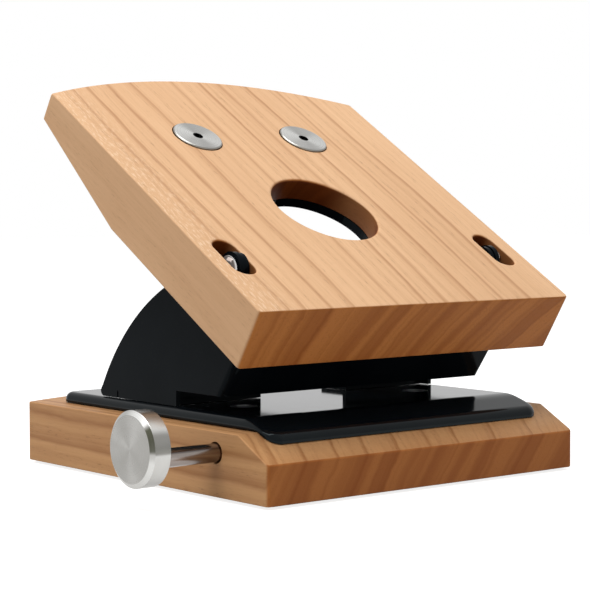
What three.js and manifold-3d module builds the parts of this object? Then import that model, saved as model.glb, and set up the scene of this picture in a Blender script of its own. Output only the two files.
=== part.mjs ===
import * as THREE from 'three';
import { mergeVertices } from 'three/addons/utils/BufferGeometryUtils.js';
import Module from 'manifold-3d';

// Wooden hole punch. Millimetres, +Z up, the front edge faces -Y and the side stop leaves to -X.
// The origin lies on the surface that the punch stands on, under the middle of the base's straight sides.

// Wooden base
const baseWidth = 140;
const sideLength = 140;
const rearBow = 14;
const baseHeight = 21.5;
const noseHeight = 13.1;
const noseRun = 15.2;
const woodCornerRadius = 1.5;
const woodEdgeRound = 0.8;

// Wooden lid
const lidOverhang = 0.6;
const lidFrontSetback = 0.6;
const lidThickness = 22;
const lidCeiling = 8;
const lidRearThickness = 11;
const lidTaperRun = 57;
const lidEdgeRound = 1.4;
const pocketFrontWall = 10;
const pocketSideWall = 6.4;
const pocketRearWall = 17;
const pocketCornerRadius = 4;
const gripHoleRadius = 20;
const gripHoleSetback = 60.4;
const slotLength = 20;

// Pivot and travel: the lid is flat and level when pressed, and raised at rest
const raisedAngleDegrees = 31.4;
const pivotSetback = 31.5;
const pivotHeight = 73.4;
const pivotDepth = 4.7;
const pivotPinRadius = 2.5;
const pivotFitClearance = 0.15;
const capRadius = 5;
const capLength = 3.8;
const capWall = 0.5;

// Pressed steel base plate
const plateSheet = 1.8;
const plateSideInset = 8;
const plateFrontInset = 8.3;
const plateRearInset = 9;
const plateRise = 4;
const plateCornerRadius = 5;
const plateEdgeRadius = 3.6;
const plateSeatGap = 0.2;
const plateDipSetback = 20.9;
const plateDipDegrees = 15.6;
const plateDipBlend = 3;

// Paper slot and hole pattern
const paperSlotHeight = 5.3;
const paperStopSetback = 62.3;
const paperMargin = 12;
const pinSpacing = 80;
const pinRadius = 2.75;
const pinGuideClearance = 0.12;

// Steel housing: two cheeks and the sloping front wall
const housingSideInset = 10.3;
const housingSheet = 1.8;
const housingBendRadius = 2.6;
const frontWallAhead = 13.2;
const frontWallRise = 16.2;
const frontWallLeanDegrees = 35;
const frontCornerRadius = 4;
const cheekEarRadius = 5.6;
const cheekRearReach = 45.7;
const cheekFootReach = 34.6;
const cheekTopReach = 29.5;
const cheekRearRadius = 86.3;
const cheekCornerRadius = 2;
const reliefSlitWidth = 0.8;
const reliefSlitHeight = 2.4;
const housingSeatGap = 0.2;
const swingClearance = 1;
const footFlangeWidth = 8;
const footFlangeLength = 14;

// Guide brackets that carry the punch pins
const bracketSheet = 1.8;
const bracketSetback = 3.7;
const bracketInnerEdge = 20;
const bracketFlangeReach = 8;
const bracketHeight = 20.5;
const bracketFootLength = 12;

// Pins, springs and dies
const pinHeadRadius = 4.8;
const pinHeadHeight = 2.5;
const pinTipRecess = 0.7;
const dieNeckRadius = 4.8;
const dieFlangeRadius = 7;
const dieFlangeHeight = 1.5;
const dieCutClearance = 0.08;
const springRadius = 3.9;
const springWireRadius = 0.5;
const springTurns = 7;
const turnSteps = 8;
const wireSides = 5;
const springSeatGap = 0.3;

// Steel lever under the lid
const leverSheet = 1.8;
const leverFrontReach = 7.5;
const leverRearGap = 4;
const leverSideRim = 5;
const leverRimStart = 12;
const leverCollarDepth = 1.4;
const leverCollarWall = 1.8;
const leverEarRadius = 5.2;
const lugDrop = 10;
const lugRadius = 3;
const lugWidth = 8;
const driveGap = 0.4;

// Disc-headed screws that hold the lid on the lever
const discSpacing = 49.8;
const discRearInset = 30.2;
const discRadius = 9.35;
const discThickness = 2;
const discProud = 0.8;
const discSocketRadius = 2;
const discSocketDepth = 1.2;
const lidBoltRadius = 2.5;
const lidBoltEnd = 3;
const nutWidth = 8;
const nutHeight = 4;

// Side stop: a rod in a bore of the base and an eccentric turned knob
const rodRadius = 3.1;
const rodBoreRadius = 3.6;
const rodSetback = 26.8;
const rodHeight = 14.5;
const rodInsideLength = 84;
const rodTravelIn = 26.3;
const rodBoreEnd = 5;
const knobRadius = 12.3;
const knobFaceRadius = 10.7;
const knobThickness = 7.1;
const knobChamferDepth = 1.2;
const knobOffset = 3.8;
const brakeRadius = 2.5;
const brakePlugLength = 4;
const brakeScrewLength = 5;
const brakeInset = 16;

// Chip chamber, its cover, the mat and the screws from below
const chamberPastPins = 15;
const chamberHalfWidth = 11;
const chamberDepth = 14;
const chipShaftRadius = 6;
const coverThickness = 2.2;
const coverRim = 3;
const matThickness = 1;
const matInset = 5;
const matCoverGap = 2;
const frameScrewRadius = 1.75;
const frameScrewHeadRadius = 3.5;
const frameScrewHeadHeight = 2.5;
const frameScrewHeadDepth = 6;
const frameScrewSideInset = 24;
const frameScrewSpacing = 36;
const frameScrewRearInset = 20;
const weldNutRadius = 4;
const weldNutHeight = 4;

// General fit between neighbours that are held together, and the overrun of every cut
const fit = 0.3;
const cutOverrun = 2;
const fineSegments = 64;
const roundSegments = 32;
const smallSegments = 24;
const outlineSegments = 14;
const arcSteps = 10;
const bendSteps = 5;

const raisedAngle = THREE.MathUtils.degToRad(raisedAngleDegrees);
const frontWallLean = THREE.MathUtils.degToRad(frontWallLeanDegrees);
const plateDip = THREE.MathUtils.degToRad(plateDipDegrees);

// Places along Y count back from the base's front edge, heights count up from the base's underside
const back = (distance) => distance - sideLength / 2;
const up = (height) => height + matThickness;

const pivotY = lidFrontSetback + pivotSetback;
const pinY = paperStopSetback - paperMargin;
const plateTop = baseHeight + plateRise;
const slotTop = plateTop + paperSlotHeight;
const lidWidth = baseWidth + lidOverhang * 2;
const pocketHalfWidth = lidWidth / 2 - pocketSideWall;
const plateHalfWidth = baseWidth / 2 - plateSideInset;
const cheekOuter = baseWidth / 2 - housingSideInset;
const cheekInner = cheekOuter - housingSheet;
const leverOuter = cheekInner - fit;
const leverInner = leverOuter - leverSheet;
const leverTop = pivotDepth - lidCeiling - fit;
const leverBottom = leverTop - leverSheet;
const leverRearReach = sideLength - pivotSetback - pocketRearWall - leverRearGap;
const lugReach = pinY - pivotY;
const pinHeadTop = pivotHeight + lugReach * Math.sin(raisedAngle) - lugDrop * Math.cos(raisedAngle)
  - lugRadius - driveGap;
const pinTravel = lugReach * Math.sin(raisedAngle) - lugDrop * Math.cos(raisedAngle) + lugDrop;
const bracketTop = plateTop + bracketHeight;
const discReach = sideLength - discRearInset - pivotSetback;
const chamberHalfLength = pinSpacing / 2 + chamberPastPins;
const frameScrewSide = baseWidth / 2 - frameScrewSideInset;
const frameScrewRear = sideLength - frameScrewRearInset;
const frameScrewFront = frameScrewRear - frameScrewSpacing;
const sides = [['left', -1], ['right', 1]];

const wasm = await Module();
wasm.setup();

// Solids: a closed three.js geometry goes in, booleans happen, and a geometry comes out
function toSolid(geometry) {
  const bare = geometry.clone();
  bare.deleteAttribute('normal');
  bare.deleteAttribute('uv');
  const merged = mergeVertices(bare);
  return new wasm.Manifold(new wasm.Mesh({
    numProp: 3,
    vertProperties: new Float32Array(merged.attributes.position.array),
    triVerts: new Uint32Array(merged.index.array),
  }));
}

function toGeometry(solid) {
  const mesh = solid.getMesh();
  const geometry = new THREE.BufferGeometry();
  geometry.setAttribute('position', new THREE.BufferAttribute(new Float32Array(mesh.vertProperties), 3));
  geometry.setIndex(new THREE.BufferAttribute(new Uint32Array(mesh.triVerts), 1));
  geometry.computeVertexNormals();
  return geometry;
}

const joined = (solids) => solids.reduce((whole, piece) => whole.add(piece));

// An outline in plan, extruded up from a height, with an optional rounded edge at top and bottom
function standing(shape, bottom, height, edge = 0) {
  const geometry = new THREE.ExtrudeGeometry(shape, {
    depth: height - edge * 2,
    bevelEnabled: edge > 0,
    bevelThickness: edge,
    bevelSize: edge,
    bevelOffset: -edge,
    bevelSegments: 3,
    curveSegments: outlineSegments,
  });
  geometry.translate(0, 0, bottom + edge);
  return toSolid(geometry);
}

// An outline in the side view (Y, Z), extruded along X
function sideways(shape, fromX, toX) {
  const geometry = new THREE.ExtrudeGeometry(shape, {
    depth: toX - fromX,
    bevelEnabled: false,
    curveSegments: outlineSegments,
  });
  geometry.applyMatrix4(new THREE.Matrix4().makeBasis(
    new THREE.Vector3(0, 1, 0),
    new THREE.Vector3(0, 0, 1),
    new THREE.Vector3(1, 0, 0),
  ));
  geometry.translate(fromX, 0, 0);
  return toSolid(geometry);
}

// Round bars along Z and along X, and a plain block between two corners
function uprightBar(radius, x, y, bottom, top, segments = roundSegments) {
  const geometry = new THREE.CylinderGeometry(radius, radius, top - bottom, segments);
  geometry.rotateX(Math.PI / 2);
  geometry.translate(x, y, (bottom + top) / 2);
  return toSolid(geometry);
}

function crossBar(radius, fromX, toX, y, z, segments = roundSegments) {
  const geometry = new THREE.CylinderGeometry(radius, radius, toX - fromX, segments);
  geometry.rotateZ(Math.PI / 2);
  geometry.translate((fromX + toX) / 2, y, z);
  return toSolid(geometry);
}

function block(low, high) {
  const geometry = new THREE.BoxGeometry(high[0] - low[0], high[1] - low[1], high[2] - low[2]);
  geometry.translate((low[0] + high[0]) / 2, (low[1] + high[1]) / 2, (low[2] + high[2]) / 2);
  return toSolid(geometry);
}

// A block that spans from one distance to another on the named side of the middle
function sideBlock(side, near, far, low, high) {
  const [from, to] = side < 0 ? [-far, -near] : [near, far];
  return block([from, low[0], low[1]], [to, high[0], high[1]]);
}

function polygon(points) {
  return new THREE.Shape(points.map(([x, y]) => new THREE.Vector2(x, y)));
}

function roundedRectangle(halfWidth, frontY, rearY, radius) {
  const shape = new THREE.Shape();
  shape.absarc(halfWidth - radius, frontY + radius, radius, -Math.PI / 2, 0, false);
  shape.absarc(halfWidth - radius, rearY - radius, radius, 0, Math.PI / 2, false);
  shape.absarc(radius - halfWidth, rearY - radius, radius, Math.PI / 2, Math.PI, false);
  shape.absarc(radius - halfWidth, frontY + radius, radius, Math.PI, Math.PI * 1.5, false);
  return shape;
}

// The plan that base and lid share: square front, straight sides and a bowed rear edge
function bowedOutline(width, frontY, rearY, radius) {
  const half = width / 2;
  const bowRadius = (half * half + rearBow * rearBow) / (rearBow * 2);
  const bowAngle = Math.asin(half / bowRadius);
  const shape = new THREE.Shape();
  shape.absarc(half - radius, frontY + radius, radius, -Math.PI / 2, 0, false);
  const bowY = rearY + rearBow - bowRadius;
  shape.absarc(0, bowY, bowRadius, Math.PI / 2 - bowAngle, Math.PI / 2 + bowAngle, false);
  shape.absarc(radius - half, frontY + radius, radius, Math.PI, Math.PI * 1.5, false);
  return shape;
}

// Materials, one function for each finish
const finish = (color, roughness, metalness) => new THREE.MeshStandardMaterial({ color, roughness, metalness });
const paleWood = () => finish(0xd9ac7c, 0.55, 0);
const blackLacquer = () => finish(0x14181c, 0.18, 0.1);
const turnedAluminium = () => finish(0xc9c9c7, 0.32, 1);
const brightSteel = () => finish(0xb8b6b4, 0.25, 1);
const toolSteel = () => finish(0x8d8f92, 0.35, 1);
const springSteel = () => finish(0x9a9c9f, 0.3, 1);
const blackRubber = () => finish(0x1b1b1b, 0.9, 0);
const darkPlastic = () => finish(0x26272a, 0.6, 0);
const whiteNylon = () => finish(0xe8e6df, 0.5, 0);

function named(name, solid, material) {
  const mesh = new THREE.Mesh(toGeometry(solid), material);
  mesh.name = name;
  return mesh;
}

// Wooden base: bevelled nose, bore for the stop rod, chip chamber and screw holes
function woodBase() {
  const outline = bowedOutline(baseWidth, back(0), back(sideLength), woodCornerRadius);
  const blank = standing(outline, up(0), baseHeight, woodEdgeRound);
  const nose = polygon([
    [back(0) - cutOverrun, up(-cutOverrun)],
    [back(sideLength + rearBow) + cutOverrun, up(-cutOverrun)],
    [back(sideLength + rearBow) + cutOverrun, up(baseHeight) + cutOverrun],
    [back(noseRun), up(baseHeight) + cutOverrun],
    [back(noseRun), up(baseHeight)],
    [back(0), up(noseHeight)],
    [back(0) - cutOverrun, up(noseHeight)],
  ]);
  let body = blank.intersect(sideways(nose, -baseWidth, baseWidth));
  const cuts = [];
  const boreEnd = rodInsideLength + rodTravelIn + rodBoreEnd - baseWidth / 2;
  cuts.push(crossBar(rodBoreRadius, -baseWidth / 2 - cutOverrun, boreEnd, back(rodSetback), up(rodHeight)));
  cuts.push(block(
    [-chamberHalfLength, back(pinY - chamberHalfWidth), up(-cutOverrun)],
    [chamberHalfLength, back(pinY + chamberHalfWidth), up(chamberDepth)],
  ));
  cuts.push(block(
    [-chamberHalfLength - coverRim, back(pinY - chamberHalfWidth - coverRim), up(-cutOverrun)],
    [chamberHalfLength + coverRim, back(pinY + chamberHalfWidth + coverRim), up(coverThickness + fit)],
  ));
  for (const [, side] of sides) {
    const pinX = side * pinSpacing / 2;
    cuts.push(uprightBar(chipShaftRadius, pinX, back(pinY), up(chamberDepth - cutOverrun),
      up(baseHeight + cutOverrun)));
    for (const screwY of [frameScrewFront, frameScrewRear]) {
      const x = side * frameScrewSide;
      const nutSeat = baseHeight + plateRise - plateSheet - weldNutHeight - fit;
      cuts.push(uprightBar(frameScrewHeadRadius + fit, x, back(screwY), up(-cutOverrun),
        up(frameScrewHeadDepth)));
      cuts.push(uprightBar(frameScrewRadius + fit, x, back(screwY), up(0), up(baseHeight)));
      cuts.push(uprightBar(weldNutRadius + fit, x, back(screwY), up(nutSeat), up(baseHeight + cutOverrun)));
    }
  }
  const brakeX = brakeInset - baseWidth / 2;
  cuts.push(uprightBar(brakeRadius + pivotFitClearance, brakeX, back(rodSetback), up(-cutOverrun),
    up(rodHeight)));
  body = body.subtract(joined(cuts));
  return named('wood_base', body, paleWood());
}

// One station of the pressed plate: how wide and how high it is at a distance behind the base's front
function plateStation(setback, inset) {
  const front = plateFrontInset + inset;
  const rear = sideLength - plateRearInset - inset;
  const radius = plateCornerRadius - inset;
  const edge = plateEdgeRadius - inset;
  const toEnd = Math.min(setback - front, rear - setback);
  const corner = Math.max(0, radius - toEnd);
  const cornerReach = Math.sqrt(Math.max(0, radius * radius - corner * corner));
  const halfWidth = plateHalfWidth - inset - radius + cornerReach;
  const fall = Math.max(0, edge - toEnd);
  const roll = edge - Math.sqrt(Math.max(0, edge * edge - fall * fall));
  const noseSlope = (baseHeight - noseHeight) / noseRun;
  const onNose = Math.max(0, noseRun - setback);
  const onDip = Math.max(0, plateDipSetback + plateDipBlend - setback);
  const dipped = onDip < plateDipBlend * 2 ? onDip * onDip / (plateDipBlend * 4) : onDip - plateDipBlend;
  const drop = dipped * Math.tan(plateDip);
  const seat = baseHeight + plateSeatGap - onNose * noseSlope;
  const bottom = inset > 0 ? seat - cutOverrun : seat;
  const top = plateTop - inset - drop - roll;
  return { y: setback, halfWidth, top, bottom, edge: Math.min(edge, top - bottom) };
}

// The plate's outer form, or its hollow when it is drawn in by the sheet
function plateForm(inset) {
  const front = plateFrontInset + inset;
  const rear = sideLength - plateRearInset - inset;
  const radius = plateCornerRadius - inset;
  const stations = [];
  for (let i = 0; i <= arcSteps; i += 1) {
    stations.push(front + radius * (1 - Math.cos(i / arcSteps * Math.PI / 2)));
  }
  const noseEnd = plateDipSetback + plateDipBlend;
  for (let i = 1; i <= arcSteps; i += 1) {
    stations.push(front + radius + (noseEnd - front - radius) * i / arcSteps);
  }
  for (let i = 0; i <= arcSteps; i += 1) {
    stations.push(rear - radius * Math.cos(i / arcSteps * Math.PI / 2));
  }
  stations.sort((a, b) => a - b);
  const rings = stations.map((setback) => {
    const { y, halfWidth, top, bottom, edge } = plateStation(setback, inset);
    const ring = [[-halfWidth, bottom]];
    for (let i = 0; i <= arcSteps; i += 1) {
      const turn = i / arcSteps * Math.PI / 2;
      ring.push([edge - halfWidth - edge * Math.cos(turn), top - edge + edge * Math.sin(turn)]);
    }
    for (let i = 0; i <= arcSteps; i += 1) {
      const turn = i / arcSteps * Math.PI / 2;
      ring.push([halfWidth - edge + edge * Math.sin(turn), top - edge + edge * Math.cos(turn)]);
    }
    ring.push([halfWidth, bottom]);
    return ring.map(([x, z]) => [x, back(y), up(z)]);
  });
  return loft(rings);
}

// A closed skin over rings of equal length, with flat ends
function loft(rings) {
  const count = rings[0].length;
  const positions = rings.flat(2);
  const index = [];
  for (let r = 0; r + 1 < rings.length; r += 1) {
    for (let i = 0; i < count; i += 1) {
      const a = r * count + i;
      const b = r * count + (i + 1) % count;
      index.push(a, b, a + count, b, b + count, a + count);
    }
  }
  const last = (rings.length - 1) * count;
  for (let i = 1; i + 1 < count; i += 1) {
    index.push(0, i + 1, i);
    index.push(last, last + i, last + i + 1);
  }
  const geometry = new THREE.BufferGeometry();
  geometry.setAttribute('position', new THREE.BufferAttribute(new Float32Array(positions), 3));
  geometry.setIndex(index);
  const solid = new wasm.Manifold(new wasm.Mesh({
    numProp: 3,
    vertProperties: geometry.attributes.position.array,
    triVerts: new Uint32Array(geometry.index.array),
  }));
  return solid;
}

// Pressed plate: turned-down rim, front that follows the nose, die holes and welded nuts
function basePlate() {
  let body = plateForm(0).subtract(plateForm(plateSheet));
  const nutTop = plateTop - plateSheet;
  for (const [, side] of sides) {
    const pinX = side * pinSpacing / 2;
    const hole = uprightBar(dieNeckRadius + fit, pinX, back(pinY), up(baseHeight), up(plateTop + cutOverrun));
    body = body.subtract(hole);
    for (const screwY of [frameScrewFront, frameScrewRear]) {
      const x = side * frameScrewSide;
      const nut = uprightBar(weldNutRadius, x, back(screwY), up(nutTop - weldNutHeight), up(nutTop + fit));
      const thread = uprightBar(frameScrewRadius + pivotFitClearance, x, back(screwY),
        up(nutTop - weldNutHeight - cutOverrun), up(nutTop));
      body = body.add(nut).subtract(thread);
    }
  }
  return named('base_plate', body, blackLacquer());
}

// Side view of a cheek: ear round the pivot, curved rear edge, foot, relief slit and paper notch
function cheekOutline() {
  const topEdge = pivotHeight + pivotDepth - lidCeiling - swingClearance;
  const wallFoot = pinY - frontWallAhead;
  const wallTopY = wallFoot - frontWallRise * Math.tan(frontWallLean);
  const wallTopZ = slotTop + frontWallRise;
  const footZ = plateTop + housingSeatGap;
  const rearY = paperStopSetback + cheekRearReach;
  const arcTop = new THREE.Vector2(pivotY + cheekTopReach, topEdge);
  const arcEnd = new THREE.Vector2(rearY, footZ + cheekCornerRadius);
  const chord = arcEnd.clone().sub(arcTop);
  const middle = arcTop.clone().add(arcEnd).multiplyScalar(0.5);
  const toCentre = Math.sqrt(cheekRearRadius ** 2 - chord.lengthSq() / 4);
  const normal = new THREE.Vector2(chord.y, -chord.x).normalize();
  const centre = middle.clone().addScaledVector(normal, toCentre);
  const startAngle = Math.atan2(arcTop.y - centre.y, arcTop.x - centre.x);
  const endAngle = Math.atan2(arcEnd.y - centre.y, arcEnd.x - centre.x);
  const shape = new THREE.Shape();
  shape.moveTo(back(wallFoot), up(slotTop));
  shape.lineTo(back(wallTopY), up(wallTopZ));
  shape.lineTo(back(pivotY - cheekEarRadius), up(pivotHeight));
  shape.absarc(back(pivotY), up(pivotHeight), cheekEarRadius, Math.PI, 0, true);
  shape.lineTo(back(pivotY + cheekEarRadius), up(topEdge));
  shape.lineTo(back(arcTop.x), up(arcTop.y));
  shape.absarc(back(centre.x), up(centre.y), cheekRearRadius, startAngle, endAngle, true);
  shape.absarc(back(rearY - cheekCornerRadius), up(footZ + cheekCornerRadius), cheekCornerRadius, 0,
    -Math.PI / 2, true);
  const slitY = paperStopSetback + cheekFootReach;
  shape.lineTo(back(slitY + reliefSlitWidth), up(footZ));
  shape.lineTo(back(slitY + reliefSlitWidth), up(footZ + reliefSlitHeight));
  shape.lineTo(back(slitY), up(footZ + reliefSlitHeight));
  shape.lineTo(back(slitY), up(footZ));
  shape.lineTo(back(paperStopSetback), up(footZ));
  shape.lineTo(back(paperStopSetback), up(slotTop));
  shape.closePath();
  return shape;
}

// A channel, open to the rear, that runs along the slope of the front wall
function slopingChannel(drawnIn) {
  const half = cheekOuter - drawnIn;
  const radius = housingBendRadius - drawnIn;
  const lengthBack = sideLength;
  const shape = new THREE.Shape();
  shape.absarc(half - radius, radius, radius, -Math.PI / 2, 0, false);
  shape.lineTo(half, lengthBack);
  shape.lineTo(-half, lengthBack);
  shape.absarc(radius - half, radius, radius, Math.PI, Math.PI * 1.5, false);
  const reach = sideLength;
  const geometry = new THREE.ExtrudeGeometry(shape, {
    depth: reach * 2,
    bevelEnabled: false,
    curveSegments: bendSteps,
  });
  geometry.translate(0, drawnIn, -reach);
  geometry.rotateX(frontWallLean);
  geometry.translate(0, back(pinY - frontWallAhead), up(slotTop));
  return toSolid(geometry);
}

// Rounds the lower corner of the front wall on one side
function frontCornerCut(side) {
  const radius = frontCornerRadius;
  const wallFoot = pinY - frontWallAhead;
  const from = [back(wallFoot - frontWallRise), up(slotTop) - cutOverrun];
  const to = [back(wallFoot) + radius, up(slotTop) + radius];
  const corner = sideBlock(side, cheekOuter - radius, cheekOuter + cutOverrun, from, to);
  const round = new THREE.CylinderGeometry(radius, radius, frontWallRise * 2 + radius * 2, smallSegments);
  round.translate(side * (cheekOuter - radius), back(wallFoot), up(slotTop) + radius);
  return corner.subtract(toSolid(round));
}

// Housing: both cheeks and the front wall from one sheet, with feet turned in on the plate
function housing() {
  const outline = sideways(cheekOutline(), -baseWidth, baseWidth);
  let body = outline.intersect(slopingChannel(0).subtract(slopingChannel(housingSheet)));
  const footZ = plateTop + housingSeatGap;
  const footFront = paperStopSetback + bracketSetback + bracketSheet + bracketFootLength + cutOverrun;
  for (const [, side] of sides) {
    const foot = sideBlock(side, cheekInner - footFlangeWidth, cheekInner + housingSheet / 2,
      [back(footFront), up(footZ)], [back(footFront + footFlangeLength), up(footZ + housingSheet)]);
    const bore = crossBar(pivotPinRadius + pivotFitClearance, side * cheekOuter - cutOverrun - housingSheet,
      side * cheekOuter + cutOverrun + housingSheet, back(pivotY), up(pivotHeight));
    body = body.add(foot).subtract(bore).subtract(frontCornerCut(side));
  }
  return named('punch_housing', body, blackLacquer());
}

// Guide bracket: foot on the plate, upright web behind the paper stop and two flanges for the pin
function guideBracket(name, side) {
  const webFront = paperStopSetback + bracketSetback;
  const flangeFront = pinY - bracketFlangeReach;
  const footTop = plateTop + housingSeatGap + bracketSheet;
  const outline = polygon([
    [back(webFront), up(plateTop + housingSeatGap)],
    [back(webFront + bracketSheet + bracketFootLength), up(plateTop + housingSeatGap)],
    [back(webFront + bracketSheet + bracketFootLength), up(footTop)],
    [back(webFront + bracketSheet), up(footTop)],
    [back(webFront + bracketSheet), up(bracketTop)],
    [back(flangeFront), up(bracketTop)],
    [back(flangeFront), up(bracketTop - bracketSheet)],
    [back(webFront), up(bracketTop - bracketSheet)],
    [back(webFront), up(slotTop + bracketSheet)],
    [back(flangeFront), up(slotTop + bracketSheet)],
    [back(flangeFront), up(slotTop)],
    [back(webFront), up(slotTop)],
  ]);
  const [from, to] = side < 0 ? [-leverOuter, -bracketInnerEdge] : [bracketInnerEdge, leverOuter];
  const guide = uprightBar(pinRadius + pinGuideClearance, side * pinSpacing / 2, back(pinY),
    up(slotTop - cutOverrun), up(bracketTop + cutOverrun));
  return named(name, sideways(outline, from, to).subtract(guide), blackLacquer());
}

// Hardened die: neck in the plate's hole, flange below the sheet, bore for the pin
function die(name, side) {
  const x = side * pinSpacing / 2;
  const flangeTop = plateTop - plateSheet - housingSeatGap;
  const neck = uprightBar(dieNeckRadius, x, back(pinY), up(flangeTop - dieFlangeHeight), up(plateTop));
  const flange = uprightBar(dieFlangeRadius, x, back(pinY), up(flangeTop - dieFlangeHeight), up(flangeTop));
  const bore = uprightBar(pinRadius + dieCutClearance, x, back(pinY),
    up(flangeTop - dieFlangeHeight - cutOverrun), up(plateTop + cutOverrun));
  return named(name, neck.add(flange).subtract(bore), toolSteel());
}

// Punch pin: ground shaft with a head that the lever presses on
function punchPin(name, side) {
  const x = side * pinSpacing / 2;
  const shaft = uprightBar(pinRadius, x, back(pinY), up(slotTop + pinTipRecess), up(pinHeadTop));
  const head = uprightBar(pinHeadRadius, x, back(pinY), up(pinHeadTop - pinHeadHeight), up(pinHeadTop));
  return named(name, shaft.add(head), toolSteel());
}

// Return spring: one open coil from the bracket's upper flange to the pin's head
class CoilPath extends THREE.Curve {
  constructor(x, y, bottom, top) {
    super();
    Object.assign(this, { x, y, bottom, top });
  }

  getPoint(t) {
    const turn = t * springTurns * Math.PI * 2;
    return new THREE.Vector3(
      this.x + springRadius * Math.cos(turn),
      this.y + springRadius * Math.sin(turn),
      this.bottom + (this.top - this.bottom) * t,
    );
  }
}

function coilPath(side) {
  const bottom = up(bracketTop + springSeatGap + springWireRadius);
  const top = up(pinHeadTop - pinHeadHeight - springSeatGap - springWireRadius);
  return new CoilPath(side * pinSpacing / 2, back(pinY), bottom, top);
}

function pinSpring(name, side) {
  const corners = [];
  for (let i = 0; i < wireSides; i += 1) {
    const turn = i / wireSides * Math.PI * 2;
    corners.push([springWireRadius * Math.cos(turn), springWireRadius * Math.sin(turn)]);
  }
  const wire = polygon(corners);
  const geometry = new THREE.ExtrudeGeometry(wire, {
    steps: springTurns * turnSteps,
    extrudePath: coilPath(side),
    bevelEnabled: false,
  });
  return named(name, toSolid(geometry), springSteel());
}

// The least gap between two turns of a spring, measured between points more than half a turn apart
function leastCoilGap(side) {
  const points = coilPath(side).getPoints(springTurns * turnSteps);
  let least = Infinity;
  for (let i = 0; i < points.length; i += 1) {
    for (let j = i + turnSteps / 2; j < points.length; j += 1) {
      least = Math.min(least, points[i].distanceTo(points[j]) - springWireRadius * 2);
    }
  }
  return least;
}

// Lever: sheet under the lid with side rims, a collar round the grip hole, ears on the pivot and two lugs
function leverPlate() {
  const holeY = gripHoleSetback - pivotSetback;
  let body = block([-leverOuter, -leverFrontReach, leverBottom], [leverOuter, leverRearReach, leverTop]);
  body = body.add(uprightBar(gripHoleRadius + leverCollarWall, 0, holeY, leverBottom - leverCollarDepth,
    leverTop, fineSegments));
  for (const [, side] of sides) {
    body = body.add(sideBlock(side, leverInner, leverOuter, [leverRimStart, leverBottom - leverSideRim],
      [leverRearReach, leverTop]));
    const ear = new THREE.Shape();
    ear.moveTo(-leverEarRadius, leverBottom);
    ear.lineTo(leverEarRadius, leverBottom);
    ear.absarc(0, 0, leverEarRadius, 0, Math.PI, false);
    ear.closePath();
    const [from, to] = side < 0 ? [-leverOuter, -leverInner] : [leverInner, leverOuter];
    body = body.add(sideways(ear, from, to));
    body = body.subtract(crossBar(pivotPinRadius + pivotFitClearance, from - cutOverrun, to + cutOverrun,
      0, 0));
    const lug = new THREE.Shape();
    lug.moveTo(lugReach + lugRadius, leverTop - leverSheet / 2);
    lug.lineTo(lugReach - lugRadius, leverTop - leverSheet / 2);
    lug.absarc(lugReach, -lugDrop, lugRadius, Math.PI, Math.PI * 2, false);
    lug.closePath();
    const lugX = side * pinSpacing / 2;
    body = body.add(sideways(lug, lugX - lugWidth / 2, lugX + lugWidth / 2));
    body = body.subtract(uprightBar(lidBoltRadius + fit, side * discSpacing / 2, discReach,
      leverBottom - cutOverrun, leverTop + cutOverrun));
  }
  body = body.subtract(uprightBar(gripHoleRadius, 0, holeY, leverBottom - leverCollarDepth - cutOverrun,
    leverTop + cutOverrun, fineSegments));
  return named('lever_plate', body, blackLacquer());
}

// Lid: the base's plan in wood, hollow below, thinner to the rear, with the grip hole and two pivot slots
function lid() {
  const front = -pivotSetback;
  const rear = sideLength - pivotSetback;
  const top = pivotDepth;
  const bottom = top - lidThickness;
  const outline = bowedOutline(lidWidth, front, rear, woodCornerRadius);
  let body = standing(outline, bottom, lidThickness, lidEdgeRound);
  const slope = (lidThickness - lidRearThickness) / lidTaperRun;
  const taperEnd = rear + rearBow + cutOverrun;
  const taper = polygon([
    [rear - lidTaperRun, bottom],
    [taperEnd, bottom - cutOverrun],
    [taperEnd, bottom + slope * (taperEnd - rear + lidTaperRun)],
  ]);
  body = body.subtract(sideways(taper, -baseWidth, baseWidth));
  const pocket = roundedRectangle(pocketHalfWidth, front + pocketFrontWall, rear - pocketRearWall,
    pocketCornerRadius);
  body = body.subtract(standing(pocket, bottom - cutOverrun, cutOverrun + lidThickness - lidCeiling));
  body = body.subtract(uprightBar(gripHoleRadius, 0, gripHoleSetback + front, bottom, top + cutOverrun,
    fineSegments));
  const slotOuter = pocketHalfWidth;
  const slotInner = leverInner - fit;
  const slotRadius = (slotOuter - slotInner) / 2;
  for (const [, side] of sides) {
    const x = side * (slotOuter + slotInner) / 2;
    const slot = new THREE.Shape();
    slot.absarc(x, slotLength / 2 - slotRadius, slotRadius, 0, Math.PI, false);
    slot.absarc(x, slotRadius - slotLength / 2, slotRadius, Math.PI, Math.PI * 2, false);
    body = body.subtract(standing(slot, top - lidCeiling - cutOverrun, lidCeiling + cutOverrun * 2));
    const discX = side * discSpacing / 2;
    body = body.subtract(uprightBar(discRadius + fit, discX, discReach, top - discThickness + discProud - fit,
      top + cutOverrun, fineSegments));
    body = body.subtract(uprightBar(lidBoltRadius + fit, discX, discReach, bottom, top));
  }
  return named('lid', body, paleWood());
}

// Disc-headed screw with a six-sided socket, flush in the lid but for a thin step
function lidScrew(name, side) {
  const x = side * discSpacing / 2;
  const y = discReach;
  const headTop = pivotDepth + discProud;
  const nutBottom = leverBottom - fit - nutHeight;
  const head = uprightBar(discRadius, x, y, headTop - discThickness, headTop, fineSegments);
  const shaft = uprightBar(lidBoltRadius, x, y, nutBottom - lidBoltEnd / 2, headTop - discThickness / 2);
  const socket = uprightBar(discSocketRadius, x, y, headTop - discSocketDepth, headTop + cutOverrun, 6);
  return named(name, head.add(shaft).subtract(socket), turnedAluminium());
}

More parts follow.
